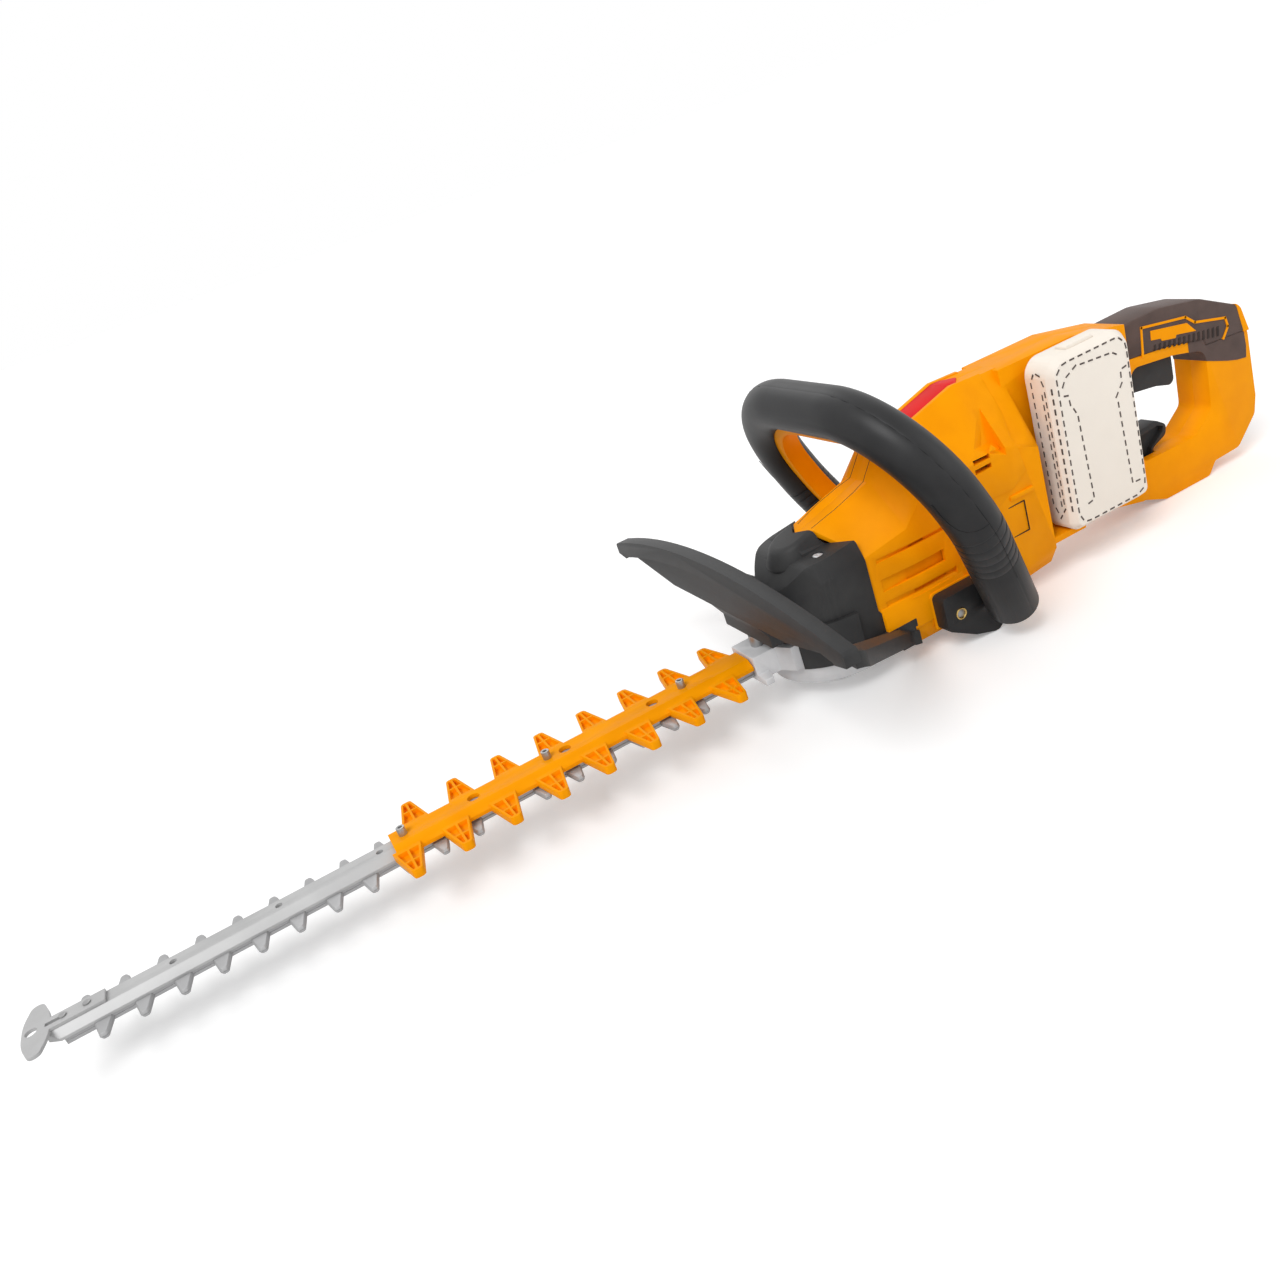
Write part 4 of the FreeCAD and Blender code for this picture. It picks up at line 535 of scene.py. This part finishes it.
def grip_badge(side):
    """The bare orange plate over the first ribs."""
    badge = [(870.5, 97), (871, 104.5), (908, 97), (916.5, 87.5), (896, 92), (895, 89.8), (881, 92.8),
             (880, 95)]
    plate = panel("grip_badge_" + SIDES[side], badge, side, GRIP_FACE - INLAY_DEEP, 1.1)
    dress(ease(plate, 0.3, segments=1), ORANGE, BODY_OF["rear_grip"])


def grip_ribs(side):
    """The row of leaning ribs, which steps down towards the rear."""
    ribs = []
    for i in range(RIB_COUNT):
        front, head, foot = RIB_FRONT + i * RIB_STEP, 92.5 - i * 0.75, 87.8 - i
        outline = [(front, foot), (front + RIB_WIDE, foot), (front + RIB_WIDE + RIB_LEAN, head),
                   (front + RIB_LEAN, head)]
        ribs.append(panel("rib", outline, side, GRIP_FACE - INLAY_DEEP, 1.0))
    row = joined("grip_ribs_" + SIDES[side], ribs)
    dress(ease(row, 0.35, segments=1), RIB, BODY_OF["rear_grip"])


def grip_skirt(side):
    """The soft cover that runs down the inside of the loop."""
    reach = [(908, 60), (924.5, 60), (934.9, 56), (947.1, 51.5), (957.5, 48.4), (966.5, 46.9), (967.4, 56.4),
             (966.6, 66.4), (966, 95), (908, 95)]
    tool = panel("reach", reach, side, -0.4, 40)
    skin("grip_skirt_" + SIDES[side], SIDES[side] + "_housing", tool, COVER_THICK, GRIP)


def handle_spine():
    """The orange spine at the rear of the loop, laid over the grip's end from one side to the other."""
    spine = [(990, 66), (990, 126), (945, 126), (953, 106), (961.2, 90.8), (963.8, 78.7), (966.6, 66.4)]
    tool = panel("spine", spine, -1, -SPINE_REACH, 2 * SPINE_REACH)
    ease(skin("handle_spine", "rear_grip", tool, COVER_THICK, ORANGE), 2.2)


# ---------------------------------------------------------------- motor housing

# Each groove's foot and head, its rear end, and its depth there. It runs out to nothing at the front.
GROOVES = ((28, 37.5, 628, 4.0), (13.5, 20, 636, 3.2), (50.5, 53.5, 634, 2.6))
GROOVE_FRONT, GROOVE_OUT, GROOVE_PATCH = 574, 60, 38.5
FLANK_FRONT, FLANK_REAR = 45.0, 47.6
LOUVRES = (76.6, 83.6)
LOUVRE_FRONT, LOUVRE_REAR, LOUVRE_HIGH = 668, 683, 3.6
LOUVRE_FLOOR, LOUVRE_PATCH, LOUVRE_GAP = 38.5, 36, 0.1
SHOULDER_INNER, SHOULDER_OUTER, SHOULDER_RISE = 11, 61, 1.4
LEDGE_FRONT, LEDGE_LONG = 568, 72


def shoulder(side):
    """The raised panel on the shoulder of one flank: a part of the wall, moved out."""
    border = [(640, 131), (704, 140), (712, 131.5), (712, 105), (707, 87), (711.5, 62), (698.5, 54.3),
              (640, 56)]
    wall = cloned(SIDES[side] + "_housing")
    tool = panel("border", border, side, SHOULDER_INNER, SHOULDER_OUTER - SHOULDER_INNER)
    return swell(carve(wall, [tool], "INTERSECT"), SHOULDER_RISE)


def wall_patches(side):
    """Thicker wall behind the grooves, the louvres and the corner, so that they don't open inwards."""
    return [
        panel("patch", rectangle(574, 12, 640, 54), side, GROOVE_PATCH, 5),
        panel("patch", rectangle(664, 73, 688, 90), side, LOUVRE_PATCH, 4),
        wedge("patch", [(668, 37.2, 94.6), (699, 43.2, 76), (698, 20.5, 119), (701, 24, 84)], side),
    ]


def recesses(side):
    """What is cut out of one flank: three ramped grooves, a deep corner and two louvres."""
    tools = []
    for foot, head, rear, deep in GROOVES:
        ramp = [(GROOVE_FRONT, FLANK_FRONT), (rear, FLANK_REAR - deep), (rear, GROOVE_OUT),
                (GROOVE_FRONT, GROOVE_OUT)]
        tools.append(slab("ramp", [(x, side * out) for x, out in ramp], foot, head - foot))
    tools.append(wedge("corner", [(670, 44, 94), (698, 52, 76), (697, 25, 124), (697, 31, 88)], side))
    for foot in LOUVRES:
        opening = rectangle(LOUVRE_FRONT, foot, LOUVRE_REAR, foot + LOUVRE_HIGH)
        tools.append(panel("louvre", opening, side, LOUVRE_FLOOR, 12))
    return tools


def flank_cuts(side):
    """Add the raised panel and the thicker wall to one flank, and cut its recesses."""
    shell = shells[SIDES[side] + "_housing"]
    carve(shell, [shoulder(side)] + wall_patches(side), "UNION")
    carve(shell, recesses(side))


def louvre_shade_floors(side):
    """Near-black plates on the louvres' floors: painted shade, standing in for the dark inside of the vents.
    """
    plates = []
    for foot in LOUVRES:
        opening = rectangle(LOUVRE_FRONT + LOUVRE_GAP, foot + LOUVRE_GAP, LOUVRE_REAR - LOUVRE_GAP,
                            foot + LOUVRE_HIGH - LOUVRE_GAP)
        plates.append(panel("floor", opening, side, LOUVRE_FLOOR + LOUVRE_GAP, 1.6))
    dress(joined("louvre_shade_floor_" + SIDES[side], plates), LOUVRE_SHADE, BODY_OF["left_housing"])


def foot_ledge(side):
    """The ledge along the foot of the flank."""
    section = [(43, 17), (46.4, 15.5), (49.2, 7), (49.2, -9), (43, -13)]
    ledge = prism("ledge_" + SIDES[side], section, LEDGE_LONG)
    start = LEDGE_FRONT if side > 0 else LEDGE_FRONT + LEDGE_LONG
    lay(ledge, at(start, 0, 0), (0, side, 0), (0, 0, 1))
    dress(ease(ledge, 0.8), ORANGE, BODY_OF["left_housing"])


def rear_step(side):
    """The short step over the framed square."""
    step = panel("step_" + SIDES[side], [(694, 44.5), (716, 44), (716, 47.5), (694, 48)], side, 42, 3.6)
    dress(ease(step, 0.5), ORANGE, BODY_OF["left_housing"])


def framed_square(side):
    """The fine line round the square in the rear lower corner of the flank."""
    border = rectangle(680, 40, 706, 16.5)
    points = [at(x, side * 44.4, z) for x, z in border + border[:1]]
    dress(stroke("frame_line_" + SIDES[side], points, 0.7, 0.5, (0, side, 0)), SEAM, BODY_OF["left_housing"])


# ---------------------------------------------------------------- ridge and nose

RIDGE_AT, RIDGE_TOP, RIDGE_SLOPE = 687, 132, 20 / 72
BADGE_AT, BADGE_LONG, BADGE_HALF, BADGE_THICK, BADGE_SUNK = 652.5, 36, 10, 1.6, 0.9
LINE_WIDE, LINE_PROUD = 0.55, 0.06
BOSS_AT, BOSS_LOW, BOSS_HIGH = 537, 60, 75
BOSS_FOOT, BOSS_CROWN, BOSS_STRETCH, BOSS_RISE, BOSS_EASE = 22, 14.5, 16, 0.27, 3.5
CAP_AT, CAP_OUT, CAP_HIGH = 542, 27, 67.3
CAP_RADIUS, CAP_THICK, CAP_EASE, CAP_TILT = 3.9, 2.4, 0.9, -0.12
SOCKET_RADIUS, SOCKET_DEEP, SOCKET_TOOL = 1.7, 0.8, 2


def ridge_badge():
    """The bare red plate that runs up the front slope of the ridge and ends in a point on its top."""
    start = RIDGE_TOP - (RIDGE_AT - BADGE_AT) * RIDGE_SLOPE - BADGE_SUNK
    slope = prism("ridge_badge", rectangle(0, -BADGE_HALF, BADGE_LONG, BADGE_HALF), BADGE_THICK)
    lay(slope, at(BADGE_AT, 0, start), (1, 0, RIDGE_SLOPE), (0, 1, 0))
    point = [(0, -BADGE_HALF), (8, -9.6), (16.5, 0), (8, 9.6), (0, BADGE_HALF)]
    tip = prism("ridge_badge_tip", point, BADGE_THICK)
    lay(tip, at(686.4, 0, RIDGE_TOP - BADGE_SUNK), (1, 0, 0), (0, 1, 0))
    for badge in (slope, tip):
        dress(ease(badge, 0.4), RED, BODY_OF["left_housing"])


def ridge_line(side):
    """The fine moulding line along one side of the ridge."""
    route = [(552, side * 9.2), (572, side * 11.6), (591, side * 10.9), (604, side * 8.2), (650, side * 8.2)]
    tool = slab("line", ribbon(route, LINE_WIDE), 60, 90)
    skin("ridge_line_" + SIDES[side], SIDES[side] + "_housing", tool, LINE_PROUD, SEAM)


def nose_boss():
    """The smooth raised boss on the nose, which runs back and up to meet the ridge."""
    carve(shells["nose_cover"], [slab("crown", rectangle(500, -26, 600, 26), 78, 30)])
    height = BOSS_HIGH - BOSS_LOW
    boss = fresh("nose_boss", bpy.ops.mesh.primitive_cone_add, vertices=64, radius1=BOSS_FOOT * MM,
                 radius2=BOSS_CROWN * MM, depth=height * MM)
    edit_where(boss, lambda spot: spot.x > 0.1 * MM)
    bpy.ops.transform.translate(value=(BOSS_STRETCH * MM, 0, 0))
    done()
    # The crown is tilted about its front, and stretched so that its rear stays over the foot's.
    edit_where(boss, lambda spot: spot.z > 0)
    front = (-BOSS_CROWN * MM, 0, height / 2 * MM)
    tilt = math.asin(BOSS_RISE)
    bpy.ops.transform.rotate(value=tilt, orient_axis="Y", center_override=front)
    bpy.ops.transform.resize(value=(1 / math.cos(tilt), 1, 1), center_override=front)
    done()
    bevel(boss, BOSS_EASE, 4, 40)
    lay(boss, at(BOSS_AT, 0, (BOSS_LOW + BOSS_HIGH) / 2), (1, 0, 0), (0, 1, 0))
    joint = [(541.5, 0), (562, -38), (562, -60), (640, -60), (640, 60), (562, 60), (562, 38)]
    carve(boss, [slab("joint", joint, 40, 70)])
    dress(smooth(boss), GUARD, BODY_OF["nose_cover"])


def screw_cap(side):
    """The bright head of one nose screw, with a hexagon socket."""
    head = fresh("nose_screw_cap_" + SIDES[side], bpy.ops.mesh.primitive_cylinder_add, vertices=32,
                 radius=CAP_RADIUS * MM, depth=CAP_THICK * MM)
    bevel(head, CAP_EASE, 3, 50)
    middle = CAP_THICK / 2 - SOCKET_DEEP + SOCKET_TOOL / 2
    socket = fresh("socket", bpy.ops.mesh.primitive_cylinder_add, vertices=6, radius=SOCKET_RADIUS * MM,
                   depth=SOCKET_TOOL * MM, location=(0, 0, middle * MM))
    carve(head, [settle(socket)])
    lay(smooth(head), at(CAP_AT, side * CAP_OUT, CAP_HIGH), (1, 0, CAP_TILT), (0, 1, 0))
    dress(head, ZINC, BODY_OF["nose_cover"])


# ---------------------------------------------------------------- bow handle

BOW_AT, BOW_DROP, BOW_RADIUS = 662, 28, 18
BOW_LEAN = math.radians(24)
BOW_UP = Vector((-math.sin(BOW_LEAN), 0, math.cos(BOW_LEAN)))
BOW_AHEAD = Vector((-math.cos(BOW_LEAN), 0, -math.sin(BOW_LEAN)))
KNEE_HIGH, KNEE_LOW, KNEE_OUT, KNEE_ROUND = 121.9, 94.7, 15.0, 90
FOOT_HIGH, FOOT_OUT, FOOT_LEAN = 18, 76.5, 0.3167
CROWN_HIGH, CROWN_OUT, CROWN_ROUND = 131, 31, 92
GRIP_RING_LOW, GRIP_RING_STEP, GRIP_RING_COUNT, GRIP_RING_THICK = 74, 7, 6, 1.1


def leg_spot(side, height):
    """A place on the middle line of a leg, and the way out of the leg across the line."""
    if height > KNEE_HIGH:
        out, slope = KNEE_OUT + KNEE_ROUND, 0
    elif height > KNEE_LOW:
        drop = KNEE_HIGH - height
        out = KNEE_OUT + math.sqrt(KNEE_ROUND ** 2 - drop ** 2)
        slope = drop / (out - KNEE_OUT)
    else:
        out, slope = FOOT_OUT + (height - FOOT_HIGH) * FOOT_LEAN, FOOT_LEAN
    middle = at(BOW_AT, side * out, -BOW_DROP) + BOW_UP * height * MM
    outward = (Vector((0, side, 0)) - BOW_UP * slope).normalized()
    return middle, outward


def bow_spot(side, height, turn):
    """A place on the skin of a leg. turn runs from the front, 0, to the outside, 90."""
    middle, outward = leg_spot(side, height)
    angle = math.radians(turn)
    return middle + (BOW_AHEAD * math.cos(angle) + outward * math.sin(angle)) * BOW_RADIUS * MM


def finger_grooves(side):
    """Rings that cut grooves round a leg, deepest at the outer front and fading out behind."""
    rings = []
    for i in range(GRIP_RING_COUNT):
        middle, outward = leg_spot(side, GRIP_RING_LOW + i * GRIP_RING_STEP)
        ring = fresh("ring", bpy.ops.mesh.primitive_torus_add, major_radius=BOW_RADIUS * MM,
                     minor_radius=GRIP_RING_THICK * MM, major_segments=64, minor_segments=8)
        shift = (BOW_AHEAD * 0.6 + outward * 0.8) * MM
        rings.append(lay(ring, middle + shift, BOW_AHEAD, outward))
    return joined("finger_grooves", rings)


def bow_grooves():
    """Cut the finger grooves into both halves of the bow."""
    for node in ("bow_front", "bow_rear"):
        carve(shells[node], [finger_grooves(side) for side in SIDES])


def bow_lines(side):
    """The line where the soft cover ends over the leg, and the parting line up its outside."""
    ending = ((117, 88), (117.5, 75), (118.5, 60), (121, 42), (125, 30), (131, 22), (140, 17), (150, 14))
    cover = [bow_spot(side, height, turn) for height, turn in ending]
    dress(thread("cover_line_" + SIDES[side], cover, 0.28), SEAM, BODY_OF["bow_front"])
    parting = [bow_spot(side, height, 90) for height in (62, 78, 92, 97, 102, 108, 114, 121, 131)]
    for degrees in range(8, 81, 8):
        turn = math.radians(degrees)
        out, height = CROWN_OUT + CROWN_ROUND * math.cos(turn), CROWN_HIGH + CROWN_ROUND * math.sin(turn)
        parting.append(at(BOW_AT, side * out, -BOW_DROP) + BOW_UP * height * MM)
    dress(thread("parting_line_" + SIDES[side], parting, 0.2), SEAM, BODY_OF["bow_front"])


# ---------------------------------------------------------------- lever and brackets


def lever_hollow():
    """Dish the lever's two sides, so that it reads as a loop."""
    hollow = [(846, -5), (862, -6), (866, 9), (879, 17.5), (880.5, 21.5), (875, 24.5), (854, 22.5), (846, 8)]
    carve(shells["lock_lever"], [panel("hollow", hollow, side, 3.0, 8) for side in SIDES])


def bracket_rim(side):
    """The orange rim behind a foot bracket."""
    rim = [(606.6, -18), (606.6, 8), (609, 10.2), (657, 10.2), (657, -18)]
    edge = panel("bracket_rim_" + SIDES[side], rim, side, 47.2, 2.2)
    dress(ease(edge, 0.5), ORANGE, BODY_OF["left_housing"])


def screw_bush(side):
    """The brass bush round a foot bracket's screw."""
    ring = fresh("screw_bush_" + SIDES[side], bpy.ops.mesh.primitive_torus_add, major_radius=3.9 * MM,
                 minor_radius=0.75 * MM, major_segments=40, minor_segments=10)
    lay(ring, at(621, side * 61.9, -8), (1, 0, 0), (0, 0, 1))
    dress(ring, BRASS, BODY_OF["left_foot_bracket"])


# ---------------------------------------------------------------- studio

FLOOR_SIZE, FLOOR_DROP, FLOOR_TONE, FLOOR_GLOW = 40, 0.0005, 0.86, 0.25
AIR_LIGHT, AIR_SEEN = 0.52, 1.0
LAMPS = (("fill", (1.8, -1.4, 1.4), 1.4, 7), ("rim", (0.2, 2.0, 2.0), 1.6, 9))
AIM = Vector((0.05, 0, 0.06))
SUN_LIGHT, SUN_WIDE, SUN_AT, SUN_RUN = 1.6, 30, (-1.2, -1.6, 2.4), (1.35, 0.95, -2.1)
CAMERA_AT, LENS, SENSOR = (-0.34544, -0.68306, 0.40996), 31.849, 36
CAMERA_RIGHT = Vector((0.85974, -0.40292, -0.31386))
CAMERA_DOWN = Vector((-0.43788, -0.26519, -0.85903))
CAMERA_AHEAD = Vector((0.26289, 0.87597, -0.40442))


def maths(nodes, operation):
    """A maths node for a material or the world."""
    node = nodes.new("ShaderNodeMath")
    node.operation = operation
    return node


def pale_floor():
    """A pale floor that runs far out, with a little glow that only the camera sees."""
    floor = fresh("floor", bpy.ops.mesh.primitive_plane_add, size=FLOOR_SIZE,
                  location=(0, 0, -FLOOR_DROP))
    paper = bpy.data.materials.new("paper")
    paper.use_nodes = True
    nodes, links = paper.node_tree.nodes, paper.node_tree.links
    shader = nodes["Principled BSDF"]
    shader.inputs["Base Color"].default_value = (FLOOR_TONE, FLOOR_TONE, FLOOR_TONE, 1)
    shader.inputs["Roughness"].default_value = 0.9
    shader.inputs["Specular IOR Level"].default_value = 0.1
    shader.inputs["Emission Color"].default_value = (1, 1, 1, 1)
    ray = nodes.new("ShaderNodeLightPath")
    glow = maths(nodes, "MULTIPLY")
    glow.inputs[1].default_value = FLOOR_GLOW
    links.new(ray.outputs["Is Camera Ray"], glow.inputs[0])
    links.new(glow.outputs["Value"], shader.inputs["Emission Strength"])
    floor.data.materials.append(paper)


def bright_air():
    """Soft light from all round, which looks white to the camera and in reflections."""
    world = bpy.data.worlds.new("studio")
    bpy.context.scene.world = world
    world.use_nodes = True
    nodes, links = world.node_tree.nodes, world.node_tree.links
    air = nodes["Background"]
    air.inputs["Color"].default_value = (1, 1, 1, 1)
    ray = nodes.new("ShaderNodeLightPath")
    through, seen = maths(nodes, "MAXIMUM"), maths(nodes, "MAXIMUM")
    links.new(ray.outputs["Is Camera Ray"], through.inputs[0])
    links.new(ray.outputs["Is Transmission Ray"], through.inputs[1])
    links.new(through.outputs["Value"], seen.inputs[0])
    links.new(ray.outputs["Is Glossy Ray"], seen.inputs[1])
    level = nodes.new("ShaderNodeMapRange")
    level.inputs["To Min"].default_value = AIR_LIGHT
    level.inputs["To Max"].default_value = AIR_SEEN
    links.new(seen.outputs["Value"], level.inputs["Value"])
    links.new(level.outputs["Result"], air.inputs["Strength"])


def lamps():
    """Two soft lamps aimed at the tool, and a wide sun as the key light."""
    for name, place, size, power in LAMPS:
        lamp = fresh(name, bpy.ops.object.light_add, type="AREA", location=place)
        lamp.data.size = size
        lamp.data.energy = power
        lamp.rotation_euler = (AIM - Vector(place)).to_track_quat("-Z", "Y").to_euler()
    key = fresh("key", bpy.ops.object.light_add, type="SUN", location=SUN_AT)
    key.data.energy = SUN_LIGHT
    key.data.angle = math.radians(SUN_WIDE)
    key.rotation_euler = Vector(SUN_RUN).to_track_quat("-Z", "Y").to_euler()


def camera():
    """The camera, from the left, ahead and above."""
    eye = fresh("camera", bpy.ops.object.camera_add)
    eye.matrix_world = Matrix.Translation(CAMERA_AT) @ turned(CAMERA_RIGHT, -CAMERA_DOWN, -CAMERA_AHEAD)
    eye.data.sensor_width = SENSOR
    eye.data.lens = LENS
    bpy.context.scene.camera = eye
    bpy.context.scene.view_settings.view_transform = "Standard"


# ---------------------------------------------------------------- the work, in order

for one in SIDES:
    flank_cuts(one)
    louvre_shade_floors(one)
    foot_ledge(one)
    rear_step(one)
    framed_square(one)
lever_hollow()
nose_boss()
bow_grooves()
for one in SIDES:
    bow_lines(one)
for one in SIDES:
    grip_skirt(one)
handle_spine()
for one in SIDES:
    ridge_line(one)
# The covers above come first, because a node that has been replaced is hidden, and so are its copies.
finish_shells()
front_dashes()
side_dashes()
edge_dashes()
for one in SIDES:
    grip_line(one)
    grip_badge(one)
    grip_ribs(one)
ridge_badge()
for one in SIDES:
    screw_cap(one)
for one in SIDES:
    bracket_rim(one)
    screw_bush(one)
pale_floor()
bright_air()
lamps()
camera()
